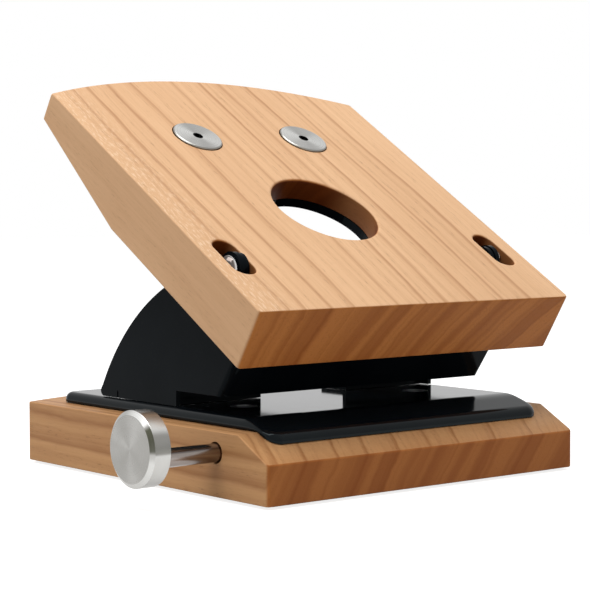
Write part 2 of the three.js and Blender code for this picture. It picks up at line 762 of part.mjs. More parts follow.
function lidNut(name, side) {
  const x = side * discSpacing / 2;
  const y = discReach;
  const top = leverBottom - fit;
  const body = uprightBar(nutWidth / 2 / Math.cos(Math.PI / 6), x, y, top - nutHeight, top, 6);
  const thread = uprightBar(lidBoltRadius + pivotFitClearance, x, y, top - nutHeight - cutOverrun,
    top + cutOverrun);
  return named(name, body.subtract(thread), brightSteel());
}

// Pivot pin through the lever's ear and the cheek, and the domed cap pushed on its outer end
function pivotPin(name, side) {
  const inner = side * leverInner;
  const outer = side * (cheekOuter + fit + capLength - capWall - fit);
  const pin = crossBar(pivotPinRadius, Math.min(inner, outer), Math.max(inner, outer), 0, 0);
  return named(name, pin, brightSteel());
}

function axleCap(name, side) {
  const bore = pivotPinRadius + pivotFitClearance;
  const boreEnd = capLength - capWall;
  const rim = capLength / 3;
  const points = [[bore, 0], [capRadius, 0], [capRadius, rim]];
  for (let i = 1; i < arcSteps; i += 1) {
    const turn = i / arcSteps * Math.PI / 2;
    points.push([capRadius * Math.cos(turn), rim + (capLength - rim) * Math.sin(turn)]);
  }
  points.push([0, capLength], [0, boreEnd], [bore, boreEnd], [bore, 0]);
  const profile = points.map(([r, h]) => new THREE.Vector2(r, h));
  const geometry = new THREE.LatheGeometry(profile, roundSegments);
  geometry.rotateZ(side < 0 ? Math.PI / 2 : -Math.PI / 2);
  geometry.translate(side * (cheekOuter + fit), 0, 0);
  return named(name, toSolid(geometry), brightSteel());
}

// Side stop: rod in the base's bore
function stopRod() {
  const outer = -baseWidth / 2 - rodTravelIn;
  const inner = rodInsideLength - baseWidth / 2;
  const rod = crossBar(rodRadius, outer - knobThickness / 2, inner, back(rodSetback), up(rodHeight));
  return named('stop_rod', rod, brightSteel());
}

// Knob: turned disc, set eccentric on the rod so that its rim stands above the plate
function stopKnob() {
  const inner = -baseWidth / 2 - rodTravelIn;
  const z = up(rodHeight + knobOffset);
  const body = [
    [0, 0],
    [knobRadius, 0],
    [knobRadius, knobThickness - knobChamferDepth],
    [knobFaceRadius, knobThickness],
    [0, knobThickness],
  ];
  const geometry = new THREE.LatheGeometry(body.map(([r, h]) => new THREE.Vector2(r, h)), fineSegments);
  geometry.rotateZ(Math.PI / 2);
  geometry.translate(inner, back(rodSetback), z);
  const seat = crossBar(rodRadius + pivotFitClearance, inner - knobThickness / 2 - fit, inner + cutOverrun,
    back(rodSetback), up(rodHeight));
  return named('stop_knob', toSolid(geometry).subtract(seat), turnedAluminium());
}

// Brake of the side stop: a nylon plug held against the rod by a screw from below
function rodBrake() {
  const x = brakeInset - baseWidth / 2;
  const plugTop = rodHeight - rodRadius - fit;
  const plug = uprightBar(brakeRadius, x, back(rodSetback), up(plugTop - brakePlugLength), up(plugTop));
  const screwTop = plugTop - brakePlugLength - fit;
  const screw = uprightBar(brakeRadius, x, back(rodSetback), up(screwTop - brakeScrewLength), up(screwTop));
  return [named('rod_brake_plug', plug, whiteNylon()), named('rod_brake_screw', screw, brightSteel())];
}

// Screw from below, through the wood into a welded nut of the plate
function frameScrew(name, side, screwY) {
  const x = side * frameScrewSide;
  const headTop = frameScrewHeadDepth - fit;
  const head = uprightBar(frameScrewHeadRadius, x, back(screwY), up(headTop - frameScrewHeadHeight),
    up(headTop));
  const shaft = uprightBar(frameScrewRadius, x, back(screwY), up(headTop - frameScrewHeadHeight / 2),
    up(plateTop - plateSheet - fit), smallSegments);
  return named(name, head.add(shaft), brightSteel());
}

// Cover of the chip chamber, snapped into its rebate
function chipCover() {
  const low = [fit - chamberHalfLength - coverRim, back(pinY - chamberHalfWidth - coverRim) + fit, up(0)];
  const high = [chamberHalfLength + coverRim - fit, back(pinY + chamberHalfWidth + coverRim) - fit,
    up(coverThickness)];
  return named('chip_cover', block(low, high), darkPlastic());
}

// Anti-slip mats under the base, in front of the cover and behind it
function frontMat() {
  const rear = pinY - chamberHalfWidth - coverRim - matCoverGap;
  const outline = roundedRectangle(baseWidth / 2 - matInset, back(matInset), back(rear), woodCornerRadius);
  return named('base_mat_front', standing(outline, 0, matThickness), blackRubber());
}

function rearMat() {
  const front = pinY + chamberHalfWidth + coverRim + matCoverGap;
  const rear = sideLength - matInset;
  const outline = bowedOutline(baseWidth - matInset * 2, back(front), back(rear), woodCornerRadius);
  return named('base_mat_rear', standing(outline, 0, matThickness), blackRubber());
}

// Assembly
const punch = new THREE.Group();
punch.add(woodBase(), frontMat(), rearMat(), chipCover(), basePlate(), housing());
for (const [label, side] of sides) {
  punch.add(guideBracket(`guide_bracket_${label}`, side));
  punch.add(die(`die_${label}`, side));
  punch.add(punchPin(`punch_pin_${label}`, side));
  punch.add(pinSpring(`pin_spring_${label}`, side));
  punch.add(frameScrew(`frame_screw_front_${label}`, side, frameScrewFront));
  punch.add(frameScrew(`frame_screw_rear_${label}`, side, frameScrewRear));
}
punch.add(stopRod(), stopKnob(), ...rodBrake());

// The lever group is modelled level, about the pivot, and raised to its rest position
const lever = new THREE.Group();
lever.position.set(0, back(pivotY), up(pivotHeight));
lever.rotation.x = raisedAngle;
lever.add(lid(), leverPlate());
for (const [label, side] of sides) {
  lever.add(lidScrew(`lid_screw_${label}`, side));
  lever.add(lidNut(`lid_nut_${label}`, side));
  lever.add(pivotPin(`pivot_pin_${label}`, side));
  lever.add(axleCap(`axle_cap_${label}`, side));
}
punch.add(lever);

console.log(`pin travel ${pinTravel.toFixed(3)} mm`);
console.log(`pin travel per radian ${(pinTravel / 1000 / raisedAngle).toFixed(6)} m`);
console.log(`least gap in a spring ${leastCoilGap(-1).toFixed(3)} mm`);
console.log(`pivot at y ${back(pivotY).toFixed(3)}, z ${up(pivotHeight).toFixed(3)}`);

export default punch;
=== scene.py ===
import math

import bpy
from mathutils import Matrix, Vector


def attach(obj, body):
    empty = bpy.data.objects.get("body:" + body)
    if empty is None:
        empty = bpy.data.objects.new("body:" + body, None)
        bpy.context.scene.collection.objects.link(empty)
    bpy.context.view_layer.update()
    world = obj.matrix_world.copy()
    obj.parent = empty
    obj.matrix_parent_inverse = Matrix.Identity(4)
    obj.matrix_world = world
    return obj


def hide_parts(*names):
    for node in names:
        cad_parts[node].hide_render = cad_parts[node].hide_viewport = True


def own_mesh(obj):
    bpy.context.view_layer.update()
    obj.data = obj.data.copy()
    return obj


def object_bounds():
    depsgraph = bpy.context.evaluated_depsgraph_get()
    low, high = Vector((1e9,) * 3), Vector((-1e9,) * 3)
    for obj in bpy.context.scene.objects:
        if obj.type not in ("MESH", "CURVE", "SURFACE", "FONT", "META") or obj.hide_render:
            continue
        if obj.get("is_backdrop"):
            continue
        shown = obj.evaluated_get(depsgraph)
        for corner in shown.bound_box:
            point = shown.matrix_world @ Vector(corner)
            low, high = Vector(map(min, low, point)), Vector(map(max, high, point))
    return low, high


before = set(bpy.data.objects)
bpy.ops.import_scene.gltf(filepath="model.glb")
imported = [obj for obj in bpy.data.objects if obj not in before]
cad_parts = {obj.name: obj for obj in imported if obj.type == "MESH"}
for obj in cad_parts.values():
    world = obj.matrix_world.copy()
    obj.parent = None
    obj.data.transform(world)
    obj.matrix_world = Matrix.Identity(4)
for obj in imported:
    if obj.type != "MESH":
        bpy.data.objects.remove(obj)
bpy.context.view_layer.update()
bpy.ops.object.select_all(action="DESELECT")

# Wooden base: one block of oiled hardwood, sawn square at the front, bowed at the rear and planed to a
# bevelled nose. It is bored from the left for the stop rod and milled from below for the chip chamber.
mm = 0.001
base_half = 70 * mm
base_front = -70 * mm
base_side_end = 70 * mm
bow = 14 * mm
underside = 1 * mm
base_thickness = 21.5 * mm
nose_height = 13.1 * mm
nose_run = 15.2 * mm
corner_round = 1.5 * mm
arris_round = 0.5 * mm
rod_y = base_front + 26.8 * mm
rod_z = underside + 14.5 * mm
pin_y = base_front + 50.3 * mm
pin_x = 40 * mm
chamber_half_length = 55 * mm
chamber_half_width = 11 * mm
chamber_depth = 14 * mm
cover_rim = 3 * mm
cover_recess = 2.5 * mm
overrun = 2 * mm
hair = 0.01 * mm
merge_gap = 0.002 * mm
no_size = 0.001 * mm
rod_bore = 3.6 * mm
rod_bore_end = 45.3 * mm
brake_x = -54 * mm
brake_bore = 2.65 * mm
chip_shaft = 6 * mm
screw_x = 46 * mm
screw_rows = (14 * mm, 50 * mm)
screw_head_bore, screw_head_top = 3.8 * mm, 7 * mm
screw_bore, screw_bore_low, screw_bore_high = 2.05 * mm, 6 * mm, 23 * mm
nut_bore, nut_low = 4.3 * mm, 20.4 * mm
above_wood = 25 * mm


def arc(centre, radius, start, end, steps):
    """Points of a round corner in a flat outline, from one angle in degrees to another."""
    turns = [math.radians(start + (end - start) * i / steps) for i in range(steps + 1)]
    return [(centre[0] + radius * math.cos(t), centre[1] + radius * math.sin(t)) for t in turns]


def bow_arc(half, side_end, steps):
    """The bowed rear edge that base and lid share, from the right side to the left."""
    radius = (half * half + bow * bow) / (2 * bow)
    spread = math.degrees(math.asin(half / radius))
    return arc((0, side_end + bow - radius), radius, 90 - spread, 90 + spread, steps)


def settled():
    """The piece in hand keeps its place, turn and size in its mesh alone."""
    bpy.ops.object.transform_apply(location=True, rotation=True, scale=True)
    return bpy.context.object


def all_picked(piece):
    """Edit mode with all of the piece selected."""
    bpy.context.view_layer.objects.active = piece
    bpy.ops.object.mode_set(mode="EDIT")
    bpy.ops.mesh.select_all(action="SELECT")


def drawn_sheet(name, points, lay):
    """A flat outline: one point extruded from corner to corner, closed and filled. lay gives the place
    of an outline point in space."""
    corners = [Vector(lay(*p)) for p in points]
    bpy.ops.object.select_all(action="DESELECT")
    bpy.ops.mesh.primitive_plane_add(size=mm, location=corners[0])
    piece = settled()
    piece.name = name
    bpy.ops.object.mode_set(mode="EDIT")
    bpy.ops.mesh.select_mode(type="VERT")
    bpy.ops.mesh.select_all(action="SELECT")
    bpy.ops.mesh.merge(type="CENTER")
    for before, after in zip(corners, corners[1:]):
        bpy.ops.mesh.extrude_vertices_move(TRANSFORM_OT_translate={"value": after - before})
    bpy.ops.mesh.select_all(action="SELECT")
    bpy.ops.mesh.remove_doubles(threshold=merge_gap)
    bpy.ops.mesh.edge_face_add()
    bpy.ops.object.mode_set(mode="OBJECT")
    return piece


def pulled_up(piece, way):
    """The sheet's one face is extruded along a direction to a solid."""
    all_picked(piece)
    bpy.ops.mesh.extrude_region_move(TRANSFORM_OT_translate={"value": way})
    bpy.ops.mesh.select_all(action="SELECT")
    bpy.ops.mesh.normals_make_consistent(inside=False)
    bpy.ops.object.mode_set(mode="OBJECT")
    return piece


def flat_in_plan(height):
    """An outline of X and Y, laid level at a height."""
    return lambda x, y: (x, y, height)


def nothing_picked(piece, kind):
    """The piece's points, edges or faces, whichever kind is to be picked next, are all deselected."""
    bpy.context.view_layer.objects.active = piece
    bpy.ops.object.mode_set(mode="EDIT")
    bpy.ops.mesh.select_mode(type=kind)
    bpy.ops.mesh.select_all(action="DESELECT")
    bpy.ops.object.mode_set(mode="OBJECT")


def picked_edges(piece, wanted):
    """Edit mode with just the edges selected whose two ends pass the test."""
    nothing_picked(piece, "EDGE")
    points = piece.data.vertices
    for edge in piece.data.edges:
        edge.select = all(wanted(points[i].co) for i in edge.vertices)
    bpy.ops.object.mode_set(mode="EDIT")


def picked_faces(piece, wanted):
    """Edit mode with just the faces selected that pass the test."""
    nothing_picked(piece, "FACE")
    for face in piece.data.polygons:
        face.select = wanted(face)
    bpy.ops.object.mode_set(mode="EDIT")


def rounded(piece, width, steps, wanted=None):
    """The piece's sharp edges, or those that pass a test, are rounded."""
    if wanted is None:
        picked_edges(piece, lambda p: False)
        bpy.ops.mesh.edges_select_sharp(sharpness=math.radians(30))
    else:
        picked_edges(piece, wanted)
    bpy.ops.mesh.bevel(offset=width, segments=steps, profile=0.5, affect="EDGES", clamp_overlap=True)
    bpy.ops.object.mode_set(mode="OBJECT")


def sawn(piece, point, away):
    """A straight saw cut: what lies on the away side goes, and the cut is closed."""
    all_picked(piece)
    bpy.ops.mesh.bisect(plane_co=point, plane_no=Vector(away).normalized(), use_fill=True, clear_outer=True,
                        threshold=no_size)
    bpy.ops.object.mode_set(mode="OBJECT")


def taken_up(piece):
    """The piece alone is selected, and the active one."""
    bpy.ops.object.select_all(action="DESELECT")
    bpy.context.view_layer.objects.active = piece
    piece.select_set(True)


def worked(piece, kind, tools):
    """Tools are cut from a piece, joined to it or taken as its limit, and then put away."""
    for tool in tools:
        taken_up(piece)
        bpy.ops.object.modifier_add(type="BOOLEAN")
        cut = piece.modifiers[-1]
        cut.operation = kind
        cut.solver = "EXACT"
        cut.object = tool
        bpy.ops.object.modifier_apply(modifier=cut.name)
        bpy.data.objects.remove(tool)


def bar(radius, start, end, sides=64):
    """A round tool between two points."""
    way = Vector(end) - Vector(start)
    bpy.ops.mesh.primitive_cylinder_add(vertices=sides, radius=radius, depth=way.length,
                                        location=(Vector(start) + Vector(end)) / 2,
                                        rotation=way.to_track_quat("Z", "Y").to_euler())
    return settled()


def brick(low, high):
    """A square tool between two corners."""
    middle = [(a + b) / 2 for a, b in zip(low, high)]
    bpy.ops.mesh.primitive_cube_add(size=1, location=middle, scale=[b - a for a, b in zip(low, high)])
    return settled()


def copied(piece, way, turn=0.0):
    """A copy with its own mesh, turned about the upright through the punch's middle and moved."""
    taken_up(piece)
    bpy.ops.object.duplicate(linked=False)
    bpy.ops.transform.rotate(value=turn, orient_axis="Z", center_override=(0, 0, 0))
    bpy.ops.transform.translate(value=way)
    return settled()


def healed(piece):
    """Points that the cuts left on top of one another are merged, and faces of no size dissolved."""
    taken_up(piece)
    all_picked(piece)
    bpy.ops.mesh.remove_doubles(threshold=merge_gap)
    bpy.ops.mesh.dissolve_degenerate(threshold=no_size)
    bpy.ops.mesh.select_all(action="DESELECT")
    bpy.ops.object.mode_set(mode="OBJECT")


def smoothed(piece, angle=32):
    """Smooth shading up to an angle, with flat faces that stay flat beside their rounded edges."""
    healed(piece)
    bpy.ops.object.shade_smooth_by_angle(angle=math.radians(angle))
    bpy.ops.object.modifier_add(type="WEIGHTED_NORMAL")
    piece.modifiers[-1].keep_sharp = True
    bpy.ops.object.modifier_apply(modifier=piece.modifiers[-1].name)


def finished(piece, material, slot, body, *nodes):
    """The piece gets its material, rides on its body and stands for the CAD's nodes."""
    piece.data.materials.clear()
    piece.data.materials.append(material)
    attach(piece, body)
    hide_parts(*nodes)


plan = arc((base_half - corner_round, base_front + corner_round), corner_round, -90, 0, 6)
plan += bow_arc(base_half, base_side_end, 72)
plan += arc((corner_round - base_half, base_front + corner_round), corner_round, 180, 270, 6)
base_block = pulled_up(drawn_sheet("base_block", plan, flat_in_plan(underside)), (0, 0, base_thickness))
nose_drop = base_thickness - nose_height
sawn(base_block, (0, base_front + nose_run, underside + base_thickness), (0, -nose_drop, nose_run))
rounded(base_block, arris_round, 3)
base_tools = [
    bar(rod_bore, (-base_half - overrun, rod_y, rod_z), (rod_bore_end, rod_y, rod_z)),
    brick((-chamber_half_length, pin_y - chamber_half_width, -overrun),
          (chamber_half_length, pin_y + chamber_half_width, underside + chamber_depth)),
    brick((-chamber_half_length - cover_rim, pin_y - chamber_half_width - cover_rim, -overrun),
          (chamber_half_length + cover_rim, pin_y + chamber_half_width + cover_rim,
           underside + cover_recess)),
    bar(brake_bore, (brake_x, rod_y, -overrun), (brake_x, rod_y, rod_z), 32),
]
for side in (-1, 1):
    x = side * pin_x
    shaft_low = underside + chamber_depth - overrun
    base_tools.append(bar(chip_shaft, (x, pin_y, shaft_low), (x, pin_y, above_wood), 48))
    x = side * screw_x
    for y in screw_rows:
        base_tools.append(bar(screw_head_bore, (x, y, -overrun), (x, y, screw_head_top), 32))
        base_tools.append(bar(screw_bore, (x, y, screw_bore_low), (x, y, screw_bore_high), 32))
        base_tools.append(bar(nut_bore, (x, y, nut_low), (x, y, above_wood), 32))
worked(base_block, "DIFFERENCE", base_tools)
smoothed(base_block)


def feed(tree, socket, value):
    """A socket is linked to another socket, or takes a number, colour or vector as its own value."""
    if isinstance(value, bpy.types.NodeSocket):
        tree.links.new(value, socket)
    else:
        socket.default_value = value


def node(tree, kind, place, **settings):
    """A shader node with its settings, which go to the inputs of their names or else are its own."""
    new = tree.nodes.new(kind)
    new.location = place
    for name, value in settings.items():
        if name in new.inputs:
            feed(tree, new.inputs[name], value)
        else:
            setattr(new, name, value)
    return new


def sums(tree, place, how, *values):
    """A Math node's result."""
    new = node(tree, "ShaderNodeMath", place, operation=how)
    for socket, value in zip(new.inputs, values):
        feed(tree, socket, value)
    return new.outputs[0]


def added_up(tree, place, parts, total=0.0):
    """The sum of sockets, each times its share."""
    for i, (part, share) in enumerate(parts):
        total = sums(tree, (place[0] + 100 * i, place[1]), "MULTIPLY_ADD", part, share, total)
    return total


def product(tree, place, first, *others):
    """All the values multiplied."""
    for i, other in enumerate(others):
        first = sums(tree, (place[0] + 100 * i, place[1]), "MULTIPLY", first, other)
    return first


def blended(tree, place, how, share, under, over):
    """A Mix node's colour."""
    new = node(tree, "ShaderNodeMix", place, data_type="RGBA", blend_type=how)
    for socket, value in ((new.inputs[0], share), (new.inputs[6], under), (new.inputs[7], over)):
        feed(tree, socket, value if isinstance(value, (float, bpy.types.NodeSocket)) else (*value, 1))
    return new.outputs[2]


def ramp(tree, place, share, stops, how="LINEAR"):
    """A Color Ramp's colour, from stops of (share, colour)."""
    new = node(tree, "ShaderNodeValToRGB", place, Fac=share)
    new.color_ramp.interpolation = how
    elements = new.color_ramp.elements
    while len(elements) < len(stops):
        elements.new(1.0)
    for element, (at, colour) in zip(elements, stops):
        element.position = at
        element.color = (*colour, 1) if len(colour) == 3 else (colour[0],) * 3 + (1,)
    return new.outputs[0]


def noise(tree, place, vector, stretch, detail=4.0, roughness=0.55):
    """Noise on coordinates that are stretched along the axes, in waves per metre."""
    mapped = node(tree, "ShaderNodeMapping", (place[0] - 200, place[1]), Vector=vector, Scale=stretch)
    return node(tree, "ShaderNodeTexNoise", place, Vector=mapped.outputs[0], Scale=1.0, Detail=detail,
                Roughness=roughness).outputs[0]


def line_noise(tree, place, value, waves, detail):
    """Noise along one value."""
    return node(tree, "ShaderNodeTexNoise", place, noise_dimensions="1D", W=value, Scale=waves,
                Detail=detail).outputs[0]


def ranged(tree, place, value, low, high, start=0.0, end=1.0, how="SMOOTHSTEP"):
    """A Map Range node's result: a value's span from low to high becomes start to end."""
    spans = {"From Min": low, "From Max": high, "To Min": start, "To Max": end}
    return node(tree, "ShaderNodeMapRange", place, Value=value, interpolation_type=how, **spans).outputs[0]


def new_material(name):
    """An empty material, and its node tree."""
    material = bpy.data.materials.new(name)
    material.use_nodes = True
    material.node_tree.nodes.clear()
    return material, material.node_tree


def placed_about(tree, centre, turn):
    """Object coordinates from a centre and the surface's direction, both turned the same way."""
    place = node(tree, "ShaderNodeTexCoord", (-2400, 0)).outputs
    shift = node(tree, "ShaderNodeVectorMath", (-2200, 0), operation="SUBTRACT")
    feed(tree, shift.inputs[0], place["Object"])
    feed(tree, shift.inputs[1], centre)
    laid = node(tree, "ShaderNodeMapping", (-2000, 0), Vector=shift.outputs[0], Rotation=turn)
    facing = node(tree, "ShaderNodeMapping", (-2000, -400), vector_type="NORMAL", Vector=place["Normal"],
                  Rotation=turn)
    return laid.outputs[0], facing.outputs[0]


def skinned(tree, place, colour, **settings):
    """The surface's shader, with its settings, and the output that shows it."""
    skin = node(tree, "ShaderNodeBsdfPrincipled", place, **{"Base Color": colour}, **settings)
    out = node(tree, "ShaderNodeOutputMaterial", (place[0] + 300, place[1]))
    tree.links.new(skin.outputs[0], out.inputs[0])


def hardwood(name, centre, tilt, rings, long_grain, end_grain, lean, lean_rate, holes=None, pale=None):
    """Oiled hardwood with its length along Y. Each ring is a sheet through the block: it stands at a
    place across the width and leans, by a slope that grows along the width at the lean rate. Long and
    end grain each have a light colour and that of the rings' dark lines. holes is the half width and
    the Y span that hold sawn holes, whose walls are darkened: painted shade inside the holes, with the
    cut wood's darker tone. pale is where along the width pale flecks begin and where they are full;
    the flecks lie on faces that look up or down and are painted speckled highlights."""
    material, tree = new_material(name)
    at, facing = placed_about(tree, centre, (-tilt, 0, 0))
    across, along, height = node(tree, "ShaderNodeSeparateXYZ", (-1800, 0), Vector=at).outputs
    way = node(tree, "ShaderNodeSeparateXYZ", (-1800, -400), Vector=facing)
    is_end = ranged(tree, (-1400, -400), sums(tree, (-1600, -400), "ABSOLUTE", way.outputs[1]), 0.30, 0.85)
    upright = sums(tree, (200, -700), "ABSOLUTE", way.outputs[2])

    # the place across the rings, in widths of the block from its left side
    slope = sums(tree, (-1600, 200), "MULTIPLY_ADD", across, lean_rate, lean)
    leaned = sums(tree, (-1400, 200), "MULTIPLY", height, slope)
    wander = noise(tree, (-1600, 500), at, (9, 4.5, 9), 2.0)
    waver = noise(tree, (-1600, 800), at, (75, 13, 75), 4.0, 0.6)
    wandered = sums(tree, (-1400, 500), "MULTIPLY_ADD", wander, 0.012, -0.006)
    wavered = sums(tree, (-1400, 800), "MULTIPLY_ADD", waver, 0.0044, -0.0022)
    ring_at = sums(tree, (-1200, 300), "SUBTRACT", across, leaned)
    ring_at = sums(tree, (-1050, 300), "ADD", ring_at, wandered)
    ring_at = sums(tree, (-900, 300), "ADD", ring_at, wavered)
    ring_share = sums(tree, (-750, 300), "MULTIPLY_ADD", ring_at, 5.0, 0.5)
    stops = [(0.0, (0.0,))]
    for line in rings:
        stops += [(line - 0.009, (0.12,)), (line, (1.0,)), (line + 0.0025, (0.0,))]
    line_share = ramp(tree, (-550, 300), ring_share, stops)
    faint = ranged(tree, (-550, 600), line_noise(tree, (-750, 600), ring_share, 75.0, 2.0), 0.50, 0.66)
    band = ranged(tree, (-550, 900), line_noise(tree, (-750, 900), ring_share, 17.0, 1.0), 0.42, 0.58)

    # fibres along the grain, pores as short dark dashes beside the lines, and slow changes of tone
    fibre = noise(tree, (-1000, -100), at, (900, 22, 900), 5.0, 0.65)
    fibre_share = ranged(tree, (-800, -100), fibre, 0.34, 0.66)
    tone = ranged(tree, (-800, -700), noise(tree, (-1000, -700), at, (34, 7, 34), 3.0), 0.3, 0.7)
    dash = ranged(tree, (-800, -250), noise(tree, (-1000, -250), at, (2000, 240, 2000), 3.0, 0.6), 0.55, 0.68)
    dash = product(tree, (-450, -250), dash, sums(tree, (-600, -250), "MULTIPLY_ADD", faint, 0.22, 0.09))
    dots = ranged(tree, (-800, -950), noise(tree, (-1000, -950), at, (1700, 1700, 1700), 2.0), 0.55, 0.70)

    shares = ((fibre_share, 0.10), (line_share, 0.70), (faint, 0.13), (tone, 0.16))
    long_share = added_up(tree, (-350, 300), shares)
    end_share = added_up(tree, (-350, 0), ((band, 0.62), (line_share, 0.40), (faint, 0.14)))
    pore = [c * 0.45 for c in long_grain[1]]
    dot = [c * 0.6 for c in end_grain[1]]
    long_colour = blended(tree, (200, 300), "MIX", long_share, *long_grain)
    long_colour = blended(tree, (400, 300), "MIX", dash, long_colour, pore)
    end_colour = blended(tree, (200, -200), "MIX", end_share, *end_grain)
    end_colour = blended(tree, (400, -200), "MIX", product(tree, (50, -300), dots, 0.22), end_colour, dot)
    # pale flecks on faces that look up or down near the left edge: painted speckled highlights
    if pale is not None:
        edge = ranged(tree, (200, 600), across, *pale)
        painted_glint = ranged(tree, (200, 750), noise(tree, (0, 600), at, (1500, 300, 1500), 3.0, 0.6), 0.50, 0.62)
        upward = ranged(tree, (400, 800), upright, 0.70, 0.95)
        painted_glint = product(tree, (500, 700), painted_glint, edge, upward, 0.42)
        long_colour = blended(tree, (600, 400), "MIX", painted_glint, long_colour, (0.88, 0.68, 0.48))
    colour = blended(tree, (800, 100), "MIX", is_end, long_colour, end_colour)
    # the hole walls are darkened: painted shade inside the holes, with the cut wood's darker tone
    if holes is not None:
        half_width, near, far = holes
        sheer = ranged(tree, (400, -700), upright, 0.75, 0.25)
        off_middle = sums(tree, (200, -900), "ABSOLUTE", across)
        inside = ranged(tree, (400, -900), off_middle, half_width, half_width - mm)
        past_near = ranged(tree, (400, -1100), along, near, near + mm)
        before_far = ranged(tree, (400, -1300), along, far, far - mm)
        wall = product(tree, (600, -700), sheer, inside, past_near, before_far)
        colour = blended(tree, (1000, 100), "MULTIPLY", wall, colour, (0.34, 0.21, 0.12))

    # oil fills the fibres unevenly; dry pores are matter and lie a little lower
    relief = sums(tree, (400, -500), "MULTIPLY", fibre, 0.5)
    relief = sums(tree, (550, -500), "SUBTRACT", relief, dash)
    bump = node(tree, "ShaderNodeBump", (1000, -400), Strength=0.18, Distance=0.0002, Height=relief)
    skinned(tree, (1250, 100), colour, Roughness=ranged(tree, (600, -200), fibre, 0.0, 1.0, 0.42, 0.58),
            Normal=bump.outputs[0], **{"Specular IOR Level": 0.15})
    return material


# the base's wood colours are darker than the lid's
base_rings = [0.166, 0.191, 0.255, 0.33, 0.40, 0.47, 0.545, 0.61, 0.70, 0.79]
base_long = ((0.61, 0.335, 0.150), (0.30, 0.120, 0.040))
base_end = ((0.42, 0.147, 0.036), (0.285, 0.081, 0.015))
base_wood = hardwood("base_wood", (0, 0, underside + base_thickness), 0, base_rings, base_long, base_end,
                     lean=0.75, lean_rate=3.0)
finished(base_block, base_wood, "wood", "base", "wood_base")

# Pressed plate: 1.8 mm sheet steel, drawn to a shallow tray turned over, lacquered gloss black. Its
# rim is rolled down all round, its front dips with the nose, and it is holed for the two dies.
plate_half = 62 * mm
plate_front = base_front + 8.3 * mm
plate_rear = base_side_end - 9 * mm
plate_top = underside + base_thickness + 4 * mm
plate_foot = underside + base_thickness + 0.45 * mm
plate_corner = 5 * mm
plate_roll = 2.7 * mm
plate_sheet = 1.8 * mm
die_hole, die_hole_low, die_hole_high = 5.1 * mm, 20 * mm, 30 * mm
dip_start = base_front + 23.9 * mm
dip_cuts = 9
dip_blend = 3 * mm
dip_slope = math.tan(math.radians(19))


def dip(y):
    """How far the plate's top lies below its level, at a place along Y."""
    run = max(0.0, dip_start - y)
    run = run * run / (4 * dip_blend) if run < 2 * dip_blend else run - dip_blend
    return run * dip_slope


def nose_fall(y):
    """How far the wood's top lies below its level, at a place along Y."""
    return max(0.0, base_front + nose_run - y) * nose_drop / nose_run


plan = []
for x, y, start in ((1, -1, -90), (1, 1, 0), (-1, 1, 90), (-1, -1, 180)):
    corner_y = plate_rear - plate_corner if y > 0 else plate_front + plate_corner
    plan += arc((x * (plate_half - plate_corner), corner_y), plate_corner, start, start + 90, 10)
plate = pulled_up(drawn_sheet("plate_tray", plan, flat_in_plan(plate_foot)), (0, 0, plate_top - plate_foot))
rounded(plate, plate_roll, 8, lambda p: p.z > plate_top - hair)
bpy.context.view_layer.objects.active = plate
bpy.ops.object.mode_set(mode="EDIT")
for i in range(dip_cuts):
    bpy.ops.mesh.select_all(action="SELECT")
    bpy.ops.mesh.bisect(plane_co=(0, dip_start - i * mm, 0), plane_no=(0, 1, 0))
bpy.ops.mesh.select_mode(type="VERT")
bpy.ops.mesh.select_all(action="DESELECT")
bpy.ops.object.mode_set(mode="OBJECT")


def level(v):
    """A point's height between the plate's foot and its top, in hundredths."""
    return round(100 * (v.co.z - plate_foot) / (plate_top - plate_foot))


spots = sorted({(round(v.co.y, 5), level(v)) for v in plate.data.vertices if v.co.y < dip_start})
drops = {(y, high): nose_fall(y) + (dip(y) - nose_fall(y)) * high / 100 for y, high in spots}
at_spot = {}
for v in plate.data.vertices:
    at_spot.setdefault((round(v.co.y, 5), level(v)), []).append(v.index)
for spot in spots:
    for i in at_spot[spot]:
        plate.data.vertices[i].select = True
    bpy.ops.object.mode_set(mode="EDIT")
    bpy.ops.transform.translate(value=(0, 0, -drops[spot]))
    bpy.ops.mesh.select_all(action="DESELECT")
    bpy.ops.object.mode_set(mode="OBJECT")
picked_faces(plate, lambda face: face.normal.z < -0.5)
bpy.ops.mesh.delete(type="FACE")
bpy.ops.object.mode_set(mode="OBJECT")
bpy.ops.object.modifier_add(type="SOLIDIFY")
wall = plate.modifiers[-1]
wall.thickness = plate_sheet
wall.offset = -1
bpy.ops.object.modifier_apply(modifier=wall.name)
worked(plate, "DIFFERENCE", [bar(die_hole, (x, pin_y, die_hole_low), (x, pin_y, die_hole_high))
                             for x in (-pin_x, pin_x)])
smoothed(plate, 40)


